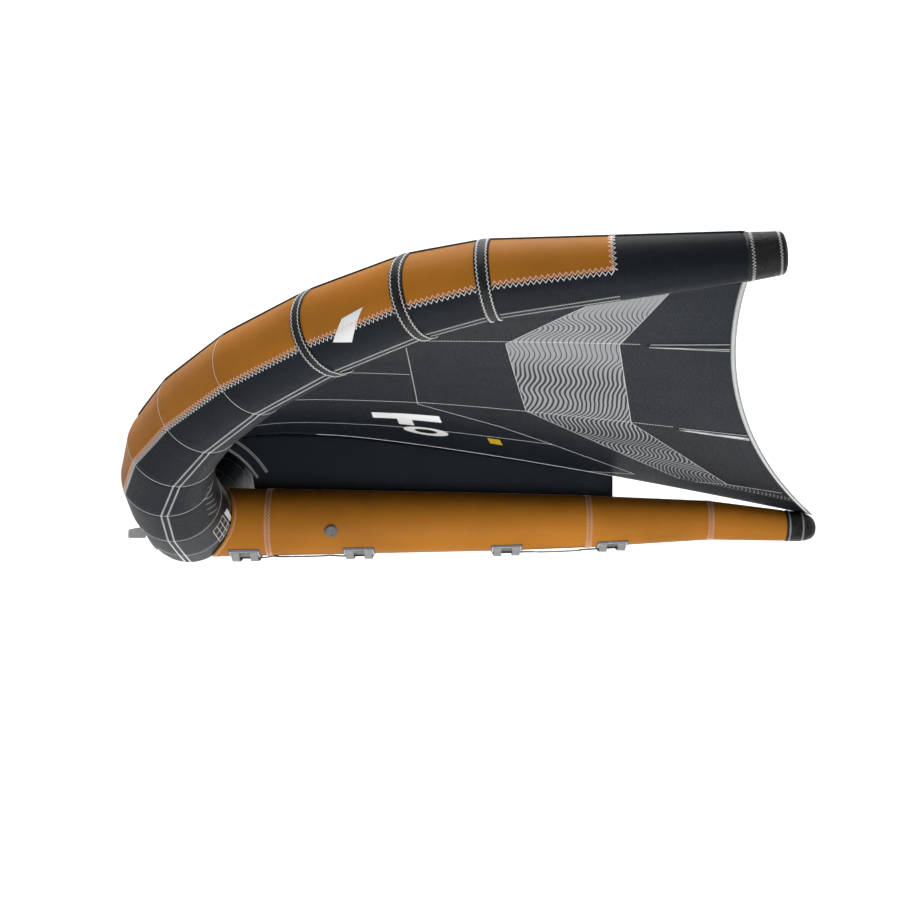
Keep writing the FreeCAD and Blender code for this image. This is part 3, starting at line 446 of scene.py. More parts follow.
def finish_piece(name, vertices, faces, uvs, material, body):
    """A named mesh with a UV map in metres, riding on a CAD body when one is given."""
    mesh = bpy.data.meshes.new(name)
    mesh.from_pydata([tuple(v) for v in vertices], [], [tuple(int(i) for i in f) for f in faces])
    layer = mesh.uv_layers.new(name="metres")
    corners = np.empty(len(mesh.loops), int)
    mesh.loops.foreach_get("vertex_index", corners)
    layer.data.foreach_set("uv", np.asarray(uvs, float)[corners].ravel())
    mesh.materials.append(MATERIALS[material])
    mesh.polygons.foreach_set("use_smooth", [True] * len(mesh.polygons))
    obj = bpy.data.objects.new(name, mesh)
    bpy.context.scene.collection.objects.link(obj)
    if body:
        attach(obj, body)
    return obj


def quads(rows, columns, first=0):
    i, j = np.meshgrid(np.arange(rows - 1), np.arange(columns - 1), indexing="ij")
    start = first + i * columns + j
    return np.stack([start, start + columns, start + columns + 1, start + 1], -1).reshape(-1, 4)


def lengths_along(points, axis):
    """Distance along a grid's rows or columns, for its UVs."""
    steps = np.linalg.norm(np.diff(points, axis=axis), axis=-1)
    total = np.cumsum(steps, axis=axis)
    pad = [(0, 0), (0, 0)]
    pad[axis] = (1, 0)
    return np.pad(total, pad)


def grid_uvs(points):
    return np.stack([lengths_along(points, 0), lengths_along(points, 1)], -1)


def facing(points, faces, hint):
    """The faces, turned so that the first one looks along hint."""
    a, b, c = (points[faces[0][i]] for i in (0, 1, 2))
    return faces if np.cross(b - a, c - a) @ hint > 0 else faces[:, ::-1]


def skin(name, points, hint, material, uvs=None, body="wing"):
    """One open surface from a grid of points, its outside towards hint."""
    rows, columns = points.shape[:2]
    uvs = grid_uvs(points) if uvs is None else uvs
    flat = points.reshape(-1, 3)
    faces = facing(flat, quads(rows, columns), hint)
    return finish_piece(name, flat, faces, uvs.reshape(-1, 2), material, body)


def slab(name, outside, inside, material, uvs=None, body="wing"):
    """A thin closed solid between two grids, its outside grid facing away from the inside one."""
    rows, columns = outside.shape[:2]
    count = rows * columns
    vertices = np.concatenate([outside.reshape(-1, 3), inside.reshape(-1, 3)])
    front = quads(rows, columns)
    hint = (outside - inside).reshape(-1, 3)[0]
    turned = facing(vertices, front, hint)
    faces = [turned, turned[:, ::-1] + count]
    index = np.arange(count).reshape(rows, columns)
    border = np.concatenate([index[0], index[1:, -1], index[-1, -2::-1], index[-2::-1, 0]])
    rim = np.stack([border[:-1], border[1:], border[1:] + count, border[:-1] + count], -1)
    faces.append(rim if turned is front else rim[:, ::-1])
    uvs = grid_uvs(outside) if uvs is None else uvs
    flat_uvs = np.tile(uvs.reshape(-1, 2), (2, 1))
    return finish_piece(name, vertices, np.concatenate(faces), flat_uvs, material, body)


class Sewing:
    """Collects threads that lie on cloth, and makes one piece of each colour."""

    def __init__(self):
        self.runs = {}

    def add(self, colour, points, normals, width):
        """A raised thread along points: each cross-section is a low ridge."""
        tangents = np.gradient(points, axis=-2)
        across = np.cross(normals, tangents)
        across /= np.linalg.norm(across, axis=-1)[..., None] + 1e-12
        ridge = points + normals * width * 0.4
        sections = np.stack([points + across * width / 2, ridge, points - across * width / 2], -2)
        self.runs.setdefault(colour, []).append(sections)

    def zigzag(self, colour, track, kind):
        pitch, amplitude, width = ZIGZAGS[kind]
        points, normals = spaced(track, pitch / 2)
        across = unit(np.cross(normals, np.gradient(points, axis=0)))
        swing = np.where(np.arange(len(points)) % 2, 1, -1)[:, None] * amplitude
        self.add(colour, points + across * swing, normals, width)

    def line(self, colour, track, width):
        self.add(colour, *track, width)

    def dashes(self, colour, track, kind):
        dash, gap, width = DASHES[kind]
        lengths = arc_lengths(track[0])
        starts = np.arange(0, lengths[-1] - dash, dash + gap)
        ends = np.stack([starts, starts + dash], -1)
        for run_points, run_normals in zip(*(points_between(ends, lengths, part) for part in track)):
            self.add(colour, run_points, run_normals, width)

    def make(self, name, body="wing"):
        for colour, runs in self.runs.items():
            vertices, faces, uvs, start = [], [], [], 0
            for sections in runs:
                rows = len(sections)
                vertices.append(sections.reshape(-1, 3))
                faces.append(quads(rows, 3, start))
                reach = np.arange(rows)[:, None] * 5 * MM
                cells = np.broadcast_arrays(reach, np.arange(3)[None] * MM)
                uvs.append(np.stack(cells, -1).reshape(-1, 2))
                start += rows * 3
            finish_piece(f"{name}_{colour}", np.concatenate(vertices), np.concatenate(faces),
                         np.concatenate(uvs), f"{colour}_thread", body)


def spaced(track, step):
    """A track's points and normals at equal steps."""
    lengths = arc_lengths(track[0])
    count = max(3, int(round(lengths[-1] / step)) + 1)
    at = np.linspace(0, lengths[-1], count)
    points, normals = (points_between(at, lengths, part) for part in track)
    return points, unit(normals)


def on_side(side, array):
    return array if side == "left" else array * MIRROR


# ---- Leading edge ----

def strip_angle(u):
    """Angle of the chafe strip, on the tube's upper front."""
    return np.interp(u, [STRIP_START, 5, 6, 7, 8, 9, 10], [144, 129, 117, 109.5, 102.5, 96, 93])


def strip_edge(u):
    """Angle of the orange panel's upper edge: under the strip, and further up inboard of it."""
    return np.where(np.asarray(u) < 5, np.interp(u, [0, 5], [108, 129]), strip_angle(u))


def colour_seam(u):
    """Angle of the zigzag seam between the orange panel and the dark one below it."""
    return np.interp(u, [0, 7, 8, 9, ORANGE_END], [204.5, 204.5, 201, 196, 190])


def belly_seam(u):
    """Angle of the double seam along the tube's underside."""
    return np.interp(u, [0, 5, 8, 9.5], [269, 266, 261, 252])


def bend_angles():
    """For each seam, the angle of the inside of its bend."""
    ways = np.diff(CENTRES, axis=0) / LENGTHS[:, None]
    ways = np.concatenate([[ways[0] * MIRROR * -1], ways, [ways[-1]]])
    turn = ways[1:] - ways[:-1]
    return np.degrees(np.arctan2((turn * UPWARD).sum(1), (turn * INBOARD).sum(1)))


BENDS = bend_angles()
SEAM_HALF_GAP = 4.2 * MM
DOUBLE_SEAM_HALF_GAP = 8 * MM
END_SEAM_HALF_GAP = 0.0055    # in u


def puff(u, angle):
    """How far the inflated cloth stands off the plain cone: pinched at seams, puckered inside bends."""
    u, angle = np.broadcast_arrays(np.asarray(u, float), np.asarray(angle, float))
    nearest = np.round(u).astype(int)
    away = np.abs(along_tube(u) - ALONG[nearest])
    pinch = -1.3 * MM * np.exp(-(away / (7 * MM)) ** 2)
    inner = np.clip(np.cos(np.radians(angle - BENDS[nearest])), 0, 1)
    fade = np.exp(-away / 0.055) * (1 - np.exp(-(away / (9 * MM)) ** 2))
    turn = np.radians(angle)
    lobes = np.sin(turn * 19 + nearest * 1.7) + 0.5 * np.sin(turn * 31 + nearest)
    return pinch + 1.1 * MM * fade * lobes * (0.2 + 0.8 * inner)


def stretch_samples(first, last):
    """u values that crowd towards the seams."""
    shares = np.array([0, 0.012, 0.03, 0.06, 0.1, 0.17, 0.26, 0.37,
                       0.5, 0.63, 0.74, 0.83, 0.9, 0.94, 0.97, 0.988])
    values = np.concatenate([k + shares for k in range(LAST)] + [[LAST]])
    inside = values[(values > first + 1e-6) & (values < last - 1e-6)]
    return np.concatenate([[first], inside, [last]])


def casing_panel(side, name, first, last, low, high, columns, material):
    """A cloth panel of the tube between two seams' angles."""
    u = stretch_samples(first, last)[:, None]
    share = np.linspace(0, 1, columns)[None]
    angle = low(u) * (1 - share) + high(u) * share
    u, angle = np.broadcast_arrays(u, angle)
    points = tube_points(u, angle, puff(u, angle))
    uvs = np.stack([along_tube(u), np.radians(angle) * 0.1], -1)
    hint = points[0, 0] - CENTRES[int(first)]
    return skin(f"{name}_{side}", on_side(side, points), on_side(side, hint), material, uvs)


def tube_track(side, u, angle, lift=CLOTH_LIFT):
    """Points and outward normals along a line on the tube."""
    u, angle = np.broadcast_arrays(np.asarray(u, float), np.asarray(angle, float))
    points = tube_points(u, angle, puff(u, angle) + lift)
    normals = unit(tube_points(u, angle, 0.01) - tube_points(u, angle))
    return on_side(side, points), on_side(side, normals)


def beside(u, angle, distance):
    """The angle of a line that runs at a distance from another, round the tube."""
    return angle + np.degrees(distance / tube_radius(u))


def leading_edge(side):
    def round_again(u):
        return strip_edge(u) + 360

    orange = casing_panel(side, "orange_panel", 0, ORANGE_END, strip_edge, colour_seam, 48,
                          "casing_orange")
    dark = casing_panel(side, "dark_panel", 0, ORANGE_END, colour_seam, round_again, 84, "casing_dark")
    tip = casing_panel(side, "tip_panel", ORANGE_END, LAST, strip_edge, round_again, 110, "casing_dark")
    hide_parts(*[f"leading_edge_{side}_{i}" for i in range(1, 5)])
    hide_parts("leading_edge_nose", *[f"leading_edge_{side}_{i}" for i in range(5, 9)])
    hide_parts(f"leading_edge_{side}_9")


def leading_edge_sewing(side, sewing):
    u = stretch_samples(0, ORANGE_END)
    rise = np.linspace(colour_seam(ORANGE_END), strip_angle(ORANGE_END) + 8, 40)
    for colour, way in (("white", 1), ("rose", -1)):
        angle = beside(u, colour_seam(u), way * SEAM_HALF_GAP)
        sewing.zigzag(colour, tube_track(side, u, angle), "colour seam")
        end = ORANGE_END + way * END_SEAM_HALF_GAP
        sewing.zigzag(colour, tube_track(side, end, rise), "colour seam")
    u = stretch_samples(0, 9.5)
    for offset in (-DOUBLE_SEAM_HALF_GAP, DOUBLE_SEAM_HALF_GAP):
        sewing.zigzag("white", tube_track(side, u, beside(u, belly_seam(u), offset)), "belly seam")
    for seam in range(0 if side == "left" else 1, 7):
        sewing.dashes("white", tube_track(side, seam, round_from_top(200), 1.6 * MM), "tube seam")


def seam_band(side, seam, sewing):
    """A black tape round a seam, with a wavy line of stitches along each edge."""
    offsets = np.array([-15, -14.5, -10, -4, 0, 4, 10, 14.5, 15]) * MM
    lifts = np.array([0.2, 2, 2.5, 2.7, 2.2, 2.7, 2.5, 2, 0.2]) * MM
    u = np.array([seam_offset(seam, offset) for offset in offsets])[:, None]
    u, angle, lift = np.broadcast_arrays(u, round_from_top(121)[None], lifts[:, None])
    points = tube_points(u, angle, lift)
    hint = points[4, 0] - CENTRES[seam]
    band = skin(f"seam_band_{side}_{seam}", on_side(side, points), on_side(side, hint), "reinforcement")
    for offset in (-9.5 * MM, 9.5 * MM):
        track = tube_track(side, seam_offset(seam, offset), round_from_top(200), 3.1 * MM)
        sewing.zigzag("white", track, "seam band")
    return band


def chafe_strip(side, sewing):
    """The black strip along the tube's top, with stitches along both edges."""
    u = stretch_samples(STRIP_START, LAST)[:, None]
    across = np.array([-11, -10.5, -6, 0, 6, 10.5, 11])[None] * MM
    lift = np.array([0.1, 3, 3.5, 3.6, 3.5, 3, 0.1])[None] * MM
    angle = strip_angle(u) + np.degrees(across / tube_radius(u))
    u, angle, lift = np.broadcast_arrays(u, angle, lift)
    points = tube_points(u, angle, lift)
    strip = skin(f"chafe_strip_{side}", on_side(side, points), on_side(side, UP), "reinforcement")
    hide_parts(f"bumper_strip_{side}")
    line = stretch_samples(STRIP_START, LAST)
    for offset in (-DOUBLE_SEAM_HALF_GAP, DOUBLE_SEAM_HALF_GAP):
        track = tube_track(side, line, beside(line, strip_angle(line), offset), 4 * MM)
        sewing.zigzag("white", track, "chafe strip")


def tip_cap(side, sewing):
    """The black end sleeve: slightly tapered, its end rounded over."""
    cap = node_vertices("tip_cap_left")
    reach = (cap - CENTRES[LAST]) @ NORMALS[LAST]
    end = cap[reach > reach.max() - 1 * MM].mean(axis=0)
    length = np.linalg.norm(end - CENTRES[LAST])
    way = (end - CENTRES[LAST]) / length
    inboard = unit(np.cross(UP, way))
    upward = np.cross(way, inboard)
    front = RADII[LAST] + 1.4 * MM
    rear = front - 6 * MM
    shares = np.array([-0.05, 0, 0.3, 0.6, 0.82, 0.9, 0.95, 0.985, 1.0, 1.01])
    taper = [front - 1.4 * MM, front, front * 0.6 + rear * 0.4, front * 0.25 + rear * 0.75]
    radii = np.array(taper + [rear * share for share in (1, 0.97, 0.88, 0.68, 0.35, 0)])
    turn = np.radians(np.linspace(0, 360, 97))[None, :, None]

    def points_at(share, radius):
        share, radius = np.reshape(share, (-1, 1, 1)), np.reshape(radius, (-1, 1, 1))
        spoke = np.cos(turn) * inboard + np.sin(turn) * upward
        return CENTRES[LAST] + way * share * length + spoke * radius

    points = points_at(shares, radii)
    cloth_cap = skin(f"tip_sleeve_{side}", on_side(side, points), on_side(side, inboard), "reinforcement")
    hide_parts(f"tip_cap_{side}")
    for share, kind in ((0.1, "tip cap root"), (0.8, "tip cap end")):
        radius = np.interp(share, shares, radii)
        line = points_at([share], [radius + CLOTH_LIFT])[0]
        normals = points_at([share], [1.0])[0] - points_at([share], [0.0])[0]
        sewing.zigzag("white", (on_side(side, line), on_side(side, normals)), kind)


# ---- Canopy ----

SHARES = np.abs(CENTRES[:, 1]) / abs(CENTRES[LAST][1])
HEM = node_vertices("trailing_hem_left")
TRAIL_ROOT = HEM[np.argmax(HEM[:, 0])]
TRAIL_TIP = HEM[np.argmin(HEM[:, 1])]
ROOT_ANGLE = 125
ANGLE_SWEEP = 185
SWEEP_POWER = 1.3
TUBE_GAP = 5 * MM
TRAIL_CURVE = 1.77
TRAIL_BOW = 46.7 * MM
CAMBER = 162 * MM
CAMBER_NARROWING = 2.48
CANOPY_THICKNESS = 1.4 * MM
TRAIL_LIFT = 1.5 * MM
TIP_PULL = 0.12
HALF_SPAN = abs(TRAIL_TIP[1])


def trailing_points(share):
    share = np.asarray(share)[..., None]
    x = TRAIL_TIP[0] + (TRAIL_ROOT[0] - TRAIL_TIP[0]) * (1 - share) ** TRAIL_CURVE
    rise = TRAIL_TIP[2] - TRAIL_ROOT[2]
    z = TRAIL_ROOT[2] + (rise - TRAIL_BOW) * share + TRAIL_BOW * share ** 2
    return np.concatenate([x, TRAIL_TIP[1] * share, z + TRAIL_LIFT], -1)


def front_points(share, lift=TUBE_GAP):
    """The canopy's front edge, along the tube and lifted off it."""
    angles = ROOT_ANGLE - ANGLE_SWEEP * SHARES ** SWEEP_POWER
    fronts = tube_points(np.arange(LAST + 1), angles, lift)
    fronts[LAST] = fronts[LAST - 1] * TIP_PULL + fronts[LAST] * (1 - TIP_PULL)
    return points_between(share, SHARES, fronts)


def camber(share, along):
    height = CAMBER * np.exp(-(CAMBER_NARROWING * share) ** 2)
    peak = 0.27 + 0.35 * share
    rising = 1 - np.clip(1 - along / peak, 0, 1) ** 3.5
    falling = 1 - np.clip((along - peak) / (1 - peak), 0, 1) ** 1.35
    return height * np.where(along < peak, rising, falling)


def canopy_points(share, along, lift=0.0):
    """Points of the left half's underside: share runs out to the tip, along from front to rear."""
    share, along, lift = np.broadcast_arrays(np.asarray(share, float), np.asarray(along, float), lift)
    aft = along[..., None]
    points = front_points(share) * (1 - aft) + trailing_points(share) * aft
    points[..., 2] += camber(share, along) + lift
    return points


def canopy_normals(share, along):
    """Upward unit normals of the left half."""
    share, along = np.broadcast_arrays(np.asarray(share, float), np.asarray(along, float))
    step = 2e-3
    outer, inner = np.clip(share + step, 0, 1), np.clip(share - step, 0, 1)
    out = canopy_points(outer, along) - canopy_points(inner, along)
    aft = canopy_points(share, along + step) - canopy_points(share, along - step)
    normals = np.cross(aft, out)
    normals *= np.sign(normals[..., 2:3] + 1e-12)
    return normals / (np.linalg.norm(normals, axis=-1)[..., None] + 1e-12)


def canopy_slab(side, name, share, along, low, high, material, sewn_to_tube=False):
    """A patch of canopy between two distances above the underside."""
    share, along = np.broadcast_arrays(share, along)
    points = canopy_points(share, along)
    normals = canopy_normals(share, along)
    if sewn_to_tube:
        seam = front_points(share[:, :1], -1 * MM)
        points = np.concatenate([seam, points], axis=1)
        normals = np.concatenate([normals[:, :1], normals], axis=1)
    uvs = grid_uvs(points)
    if points.shape[0] > points.shape[1]:
        uvs = np.stack([np.abs(points[..., 1]), points[..., 0]], -1)
    outside, inside = (on_side(side, points + normals * height) for height in (high, low))
    return slab(f"{name}_{side}", outside, inside, material, uvs)


def canopy_area(share, along):
    points = canopy_points(share, along)
    a = points[1:, :-1] - points[:-1, :-1]
    b = points[:-1, 1:] - points[:-1, :-1]
    return float(np.linalg.norm(np.cross(a, b), axis=-1).sum())


def canopy_sheet(side):
    share = np.unique(np.concatenate([np.linspace(0, 1, 90), SHARES]))[:, None]
    even = np.linspace(0, 1, 80)[None]
    along = 0.6 * (0.5 - 0.5 * np.cos(even * math.pi)) + 0.4 * even
    sheet = canopy_slab(side, "canopy", share, along, 0.0, CANOPY_THICKNESS, "canopy",
                        sewn_to_tube=True)
    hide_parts(*[f"canopy_{side}_{part}" for part in ("inner", "middle", "outer")])
    length = TRAIL_ROOT[0] - front_points(0.0)[0]
    canopy_area(share, along)


def straight_cut(share, start, end):
    """How far along a cut between two (share, along) places runs. It is straight from the side."""
    first, last = canopy_points(*start), canopy_points(*end)
    way = last - first
    along = np.linspace(0, 1, 300)
    cut = []
    for row in np.ravel(share):
        points = canopy_points(row, along)
        off = (points[:, 0] - first[0]) * way[2] - (points[:, 2] - first[2]) * way[0]
        cut.append(np.interp(0, off * np.sign(way[2]), along))
    return np.array(cut)


def cut_line(share, corners):
    """The same for a chain of corners, in order of rising share."""
    share = np.ravel(share)
    along = np.zeros(len(share))
    for start, end in zip(corners, corners[1:]):
        inside = (share >= start[0]) & (share <= end[0])
        along[inside] = straight_cut(share[inside], start, end)
    return along


def canopy_track(side, start, end, under=True, count=60):
    """A straight seam between two (share, along) places, on the underside or the top."""
    t = np.linspace(0, 1, count)
    share = start[0] + (end[0] - start[0]) * t
    if abs(end[0] - start[0]) > 0.06:
        along = straight_cut(share, start, end)
    else:
        along = start[1] + (end[1] - start[1]) * t
    normals = canopy_normals(share, along)
    lift = -0.3 * MM if under else CANOPY_THICKNESS + 0.3 * MM
    points = canopy_points(share, along) + normals * lift
    return on_side(side, points), on_side(side, -normals if under else normals)


BATTEN_SHARES = {"inner": SHARES[4], "outer": SHARES[7]}
BAND_FRONT = [(0.080, 0.812), (0.431, 0.600), (0.790, 0.392), (0.979, 0.0), (0.992, 0.0)]
BAND_REAR = [(0.080, 0.835), (0.110, 0.893), (0.431, 0.785), (0.793, 0.692), (0.992, 0.0)]
CANOPY_SEAMS = [
    ((0.41, 0.03), (0.437, 0.86)),
    ((0.808, 0.03), (0.798, 0.75)),
    ((0.588, 0.03), (0.598, 0.325)),
    ((0.765, 0.16), (0.412, 0.41)),
    ((0.412, 0.41), (0.292, 0.55)),
    ((0.292, 0.55), (0.185, 0.625)),
    ((0.185, 0.625), (0.047, 0.735)),
    ((0.165, 0.03), (0.140, 0.31)),
    ((0.140, 0.31), (0.185, 0.625)),
    ((0.004, 0.66), (0.047, 0.735)),
    ((0.047, 0.735), (0.110, 0.893)),
    ((0.110, 0.893), (0.128, 0.985)),
]


def printed_band(side):
    corners = [corner[0] for corner in BAND_FRONT + BAND_REAR]
    share = np.unique(np.concatenate([np.linspace(0.08, 0.992, 120), SHARES[:-1], corners]))
    share = share[(share >= 0.08) & (share <= 0.992)][:, None]
    front = cut_line(share, BAND_FRONT)[:, None]
    rear = cut_line(share, BAND_REAR)[:, None]
    along = front + (rear - front) * np.linspace(0, 1, 40)[None]
    return canopy_slab(side, "wavy_band", share, along, -0.35 * MM, CANOPY_THICKNESS + 0.35 * MM,
                       "wavy_print")


def canopy_sewing(side, sewing):
    for start, end in CANOPY_SEAMS:
        for under in (True, False):
            sewing.dashes("white", canopy_track(side, start, end, under), "canopy seam")
    for edge in (BAND_FRONT, BAND_REAR):
        for start, end in zip(edge, edge[1:]):
            sewing.dashes("white", canopy_track(side, start, end), "band edge")


def along_from_rear(share, distance):
    chord = np.linalg.norm(trailing_points(share) - front_points(share), axis=-1)
    return 1 - distance / chord


def trailing_hem(side, sewing):
    """Tape folded round the trailing edge, held by a wide zigzag."""
    share = np.linspace(0, 1, 140)[:, None]
    along = np.stack([along_from_rear(share[:, 0], inset * MM) for inset in (12, 11, 6, 0)], -1)
    hem = canopy_slab(side, "hem_tape", share, along, -0.6 * MM, CANOPY_THICKNESS + 0.6 * MM, "hem_tape")
    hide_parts(f"trailing_hem_{side}")
    share = np.linspace(0.004, 0.997, 300)
    along = along_from_rear(share, 6 * MM)
    normals = canopy_normals(share, along)
    for way, lift in ((-1, -1.0 * MM), (1, CANOPY_THICKNESS + 1.0 * MM)):
        points = canopy_points(share, along) + normals * lift
        sewing.zigzag("white", (on_side(side, points), on_side(side, normals * way)), "hem")


def batten_pocket(side, place, sewing):
    """A long wedge of cloth over a batten, raised along its middle."""
    share = BATTEN_SHARES[place]
    reach = np.append(np.linspace(14 * MM, 184 * MM, 14), [192 * MM, 200 * MM])[None]
    half = np.interp(reach, [14 * MM, 184 * MM, 200 * MM], [17 * MM, 9 * MM, 1 * MM])
    across = np.array([-1, -0.72, -0.4, 0, 0.4, 0.72, 1])[:, None]
    shares = share + across * half / HALF_SPAN
    along = along_from_rear(np.broadcast_to(share, reach.shape), reach)
    shares, along = np.broadcast_arrays(shares, along)
    normals = canopy_normals(shares, along)
    drop = np.interp(np.abs(across), [0, 0.4, 0.72, 1], [3.0 * MM, 2.8 * MM, 1.4 * MM, 0.4 * MM])
    drop = drop * np.interp(reach, [184 * MM, 200 * MM], [1, 0.2])
    points = canopy_points(shares, along) - normals * drop[..., None]
    inside = points + normals * 0.3 * MM
    pocket = slab(f"pocket_{place}_{side}", on_side(side, points), on_side(side, inside), "canopy")
    for edge in (-0.86, 0.86):
        line = np.linspace(14 * MM, 190 * MM, 60)
        width = np.interp(line, [14 * MM, 190 * MM], [17 * MM, 8 * MM])
        edge_share = share + edge * width / HALF_SPAN
        edge_along = along_from_rear(np.full(60, share), line)
        up = canopy_normals(edge_share, edge_along)
        track = canopy_points(edge_share, edge_along) - up * 1.5 * MM
        sewing.zigzag("white", (on_side(side, track), on_side(side, -up)), "pocket")
    return pocket


def canopy_mark(side, name, share, along, material):
    """A plain printed shape on the underside."""
    points = canopy_points(share, along)
    normals = canopy_normals(share, along)
    below = points - normals * 0.4 * MM
    return skin(f"{name}_{side}", on_side(side, below), on_side(side, -normals[0, 0]), material)


def patch_grid(share_range, along_range, slant=0.0):
    share = np.linspace(*share_range, 8)[:, None]
    along = np.linspace(*along_range, 8)[None] + slant * (share - share_range[0])
    return np.broadcast_arrays(share, along)


def disc_grid(share, along, radius_share, radius_along, inner=0.0):
    turn = np.linspace(0, math.tau, 41)[:, None]
    reach = np.linspace(inner, 1, 4)[None]
    return share + radius_share * reach * np.sin(turn), along + radius_along * reach * np.cos(turn)


def canopy_marks(side):
    """Plain blocks, a ring and a square in place of the printing."""
    canopy_mark(side, "mark_bar", *patch_grid((0.262, 0.33), (0.335, 0.45)), "white_print")
    canopy_mark(side, "mark_post", *patch_grid((0.19, 0.262), (0.375, 0.40)), "white_print")
    canopy_mark(side, "mark_ring", *disc_grid(0.135, 0.415, 0.042, 0.036, 0.5), "white_print")
    canopy_mark(side, "mark_square", *patch_grid((0.10, 0.15), (0.515, 0.535)), "yellow_print")
    canopy_mark(side, "mark_disc", *disc_grid(0.53, 0.155, 0.028, 0.026, 0.55), "white_print")
    canopy_mark(side, "mark_dot", *disc_grid(0.53, 0.155, 0.013, 0.012), "yellow_print")


# ---- Strut ----

STRUT_CHAIN = ["strut_front", "strut_middle", "strut_rear", "strut_tail", "strut_end_cap"]


def strut_rings():
    """Stations of the strut: x, height of the axis and radius. The third is a knee without a seam."""
    found = [shared_ring(a, b) for a, b in zip(STRUT_CHAIN, STRUT_CHAIN[1:])]
    middle = node_vertices("strut_middle")
    inside = middle[(middle[:, 0] > found[0][0][0] + 0.2) & (middle[:, 0] < found[1][0][0] - 0.1)]
    places, counts = np.unique(inside[:, 0].round(4), return_counts=True)
    knee = places[np.argmax(counts)]
    found.insert(1, ring_of(inside[np.abs(inside[:, 0] - knee) < 0.2 * MM]))
    stations = [(centre[0], centre[2], radius) for centre, radius, _ in found]
    slope = (stations[0][2] - stations[1][2]) / (stations[1][0] - stations[0][0])
    nose = (CENTRES[0][0] + 50 * MM, stations[0][1], stations[0][2] + slope * 0.19)
    return np.array([nose] + stations)


STRUT = strut_rings()
STRUT_SEAMS = STRUT[[1, 3, 4, 5], 0]


def strut_at(x):
    return np.interp(x, STRUT[:, 0], STRUT[:, 1]), np.interp(x, STRUT[:, 0], STRUT[:, 2])


def strut_puff(x):
    away = np.min(np.abs(np.asarray(x)[..., None] - STRUT_SEAMS), axis=-1)
    return -1.3 * MM * np.exp(-(away / (7 * MM)) ** 2)


def strut_points(x, angle, lift=0.0):
    """Points round the strut. Angle 0 is to the right, 90 up, 270 the belly."""
    x, angle, lift = np.broadcast_arrays(np.asarray(x, float), np.asarray(angle, float), lift)
    height, radius = strut_at(x)
    reach = radius + strut_puff(x) + lift
    turn = np.radians(angle)
    return np.stack([x, reach * np.cos(turn), height + reach * np.sin(turn)], -1)


def saddle_x(angle):
    """Where the strut's cloth meets the nose tube, at each angle round the strut."""
    points = strut_points(np.full(np.shape(angle), STRUT[1][0] - 0.08), angle)
    axis = unit(CENTRES[1] - CENTRES[0])
    radius = RADII[0] + 1 * MM
    on_left = np.stack([points[..., 0] * 0, -np.abs(points[..., 1]), points[..., 2]], -1)
    from_nose = on_left - CENTRES[0]
    quadratic = 1 - axis[0] ** 2
    flat = from_nose @ axis
    linear = 2 * (from_nose[..., 0] - flat * axis[0])
    constant = (from_nose ** 2).sum(-1) - flat ** 2 - radius ** 2
    root = np.sqrt(np.maximum(linear ** 2 - 4 * quadratic * constant, 0))
    return (-linear + root) / (2 * quadratic)


def strut_skin(name, first, last, node):
    """One orange panel of the strut. The first starts at the nose tube instead of at a seam."""
    angle = round_from_top(129)[None]
    start = saddle_x(angle) if first is None else np.full(angle.shape, first)
    share = np.linspace(0, 1, 42)[:, None]
    share = 0.5 - 0.5 * np.cos(share * math.pi)
    x = start + (last - start) * share
    points = strut_points(x, angle)
    uvs = np.stack([x, np.radians(np.broadcast_to(angle, x.shape)) * 0.09], -1)
    piece = skin(name, points, UP, "casing_orange", uvs)
    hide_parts(node)


def strut_track(x, angle, lift=CLOTH_LIFT):
    x, angle = np.broadcast_arrays(np.asarray(x, float), np.asarray(angle, float))
    points = strut_points(x, angle, lift)
    turn = np.radians(angle)
    return points, np.stack([turn * 0, np.cos(turn), np.sin(turn)], -1)


def strut(sewing):
    starts = [None, *STRUT_SEAMS]
    for node, first, last in zip(STRUT_CHAIN, starts, STRUT_SEAMS):
        strut_skin(f"{node}_skin", first, last, node)
    turn = np.linspace(92, 448, 300)
    for seam in STRUT_SEAMS[:3]:
        for offset in (-5 * MM, 5 * MM):
            sewing.zigzag("rose", strut_track(seam + offset, turn, 1.6 * MM), "strut seam")
    sewing.zigzag("rose", strut_track(saddle_x(turn) + 9 * MM, turn), "saddle")
    x = np.linspace(STRUT_SEAMS[0] + 0.01, STRUT_SEAMS[3] - 0.01, 300)
    for offset in (-DOUBLE_SEAM_HALF_GAP, DOUBLE_SEAM_HALF_GAP):
        sewing.zigzag("rose", strut_track(x, 90 + np.degrees(offset / strut_at(x)[1])), "strut top")


def end_cap(sewing):
    """The black sleeve on the strut's tail, its end rounded over and slightly drooped."""
    start, height, radius = STRUT[-1]
    radius += 1.2 * MM
    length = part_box("strut_end_cap")[1][0] - start
    shares = np.array([-0.05, 0, 0.2, 0.45, 0.65, 0.8, 0.9, 0.96, 0.99, 1.0])
    radii = radius * np.array([0.97, 1, 0.985, 0.94, 0.87, 0.76, 0.62, 0.44, 0.24, 0.0])
    droop = 6 * MM * shares.clip(0, 1)
    turn = np.radians(round_from_top(97))[None]

    def ring(share, radius_there, drop):
        x = start + share[:, None] * length + 0 * turn
        return np.stack([x, radius_there[:, None] * np.cos(turn),
                         height - drop[:, None] + radius_there[:, None] * np.sin(turn)], -1)

    cap = skin("strut_tail_cap", ring(shares, radii, droop), UP, "reinforcement")
    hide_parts("strut_end_cap")
    for share in (0.06, 0.5):
        there = np.array([share])
        reach = np.interp(there, shares, radii) + CLOTH_LIFT
        line = ring(there, reach, np.interp(there, shares, droop))[0]
        none = np.zeros(1)
        normals = ring(none, none + 1, none)[0] - ring(none, none, none)[0]
        sewing.zigzag("white", (line, normals), "end cap")


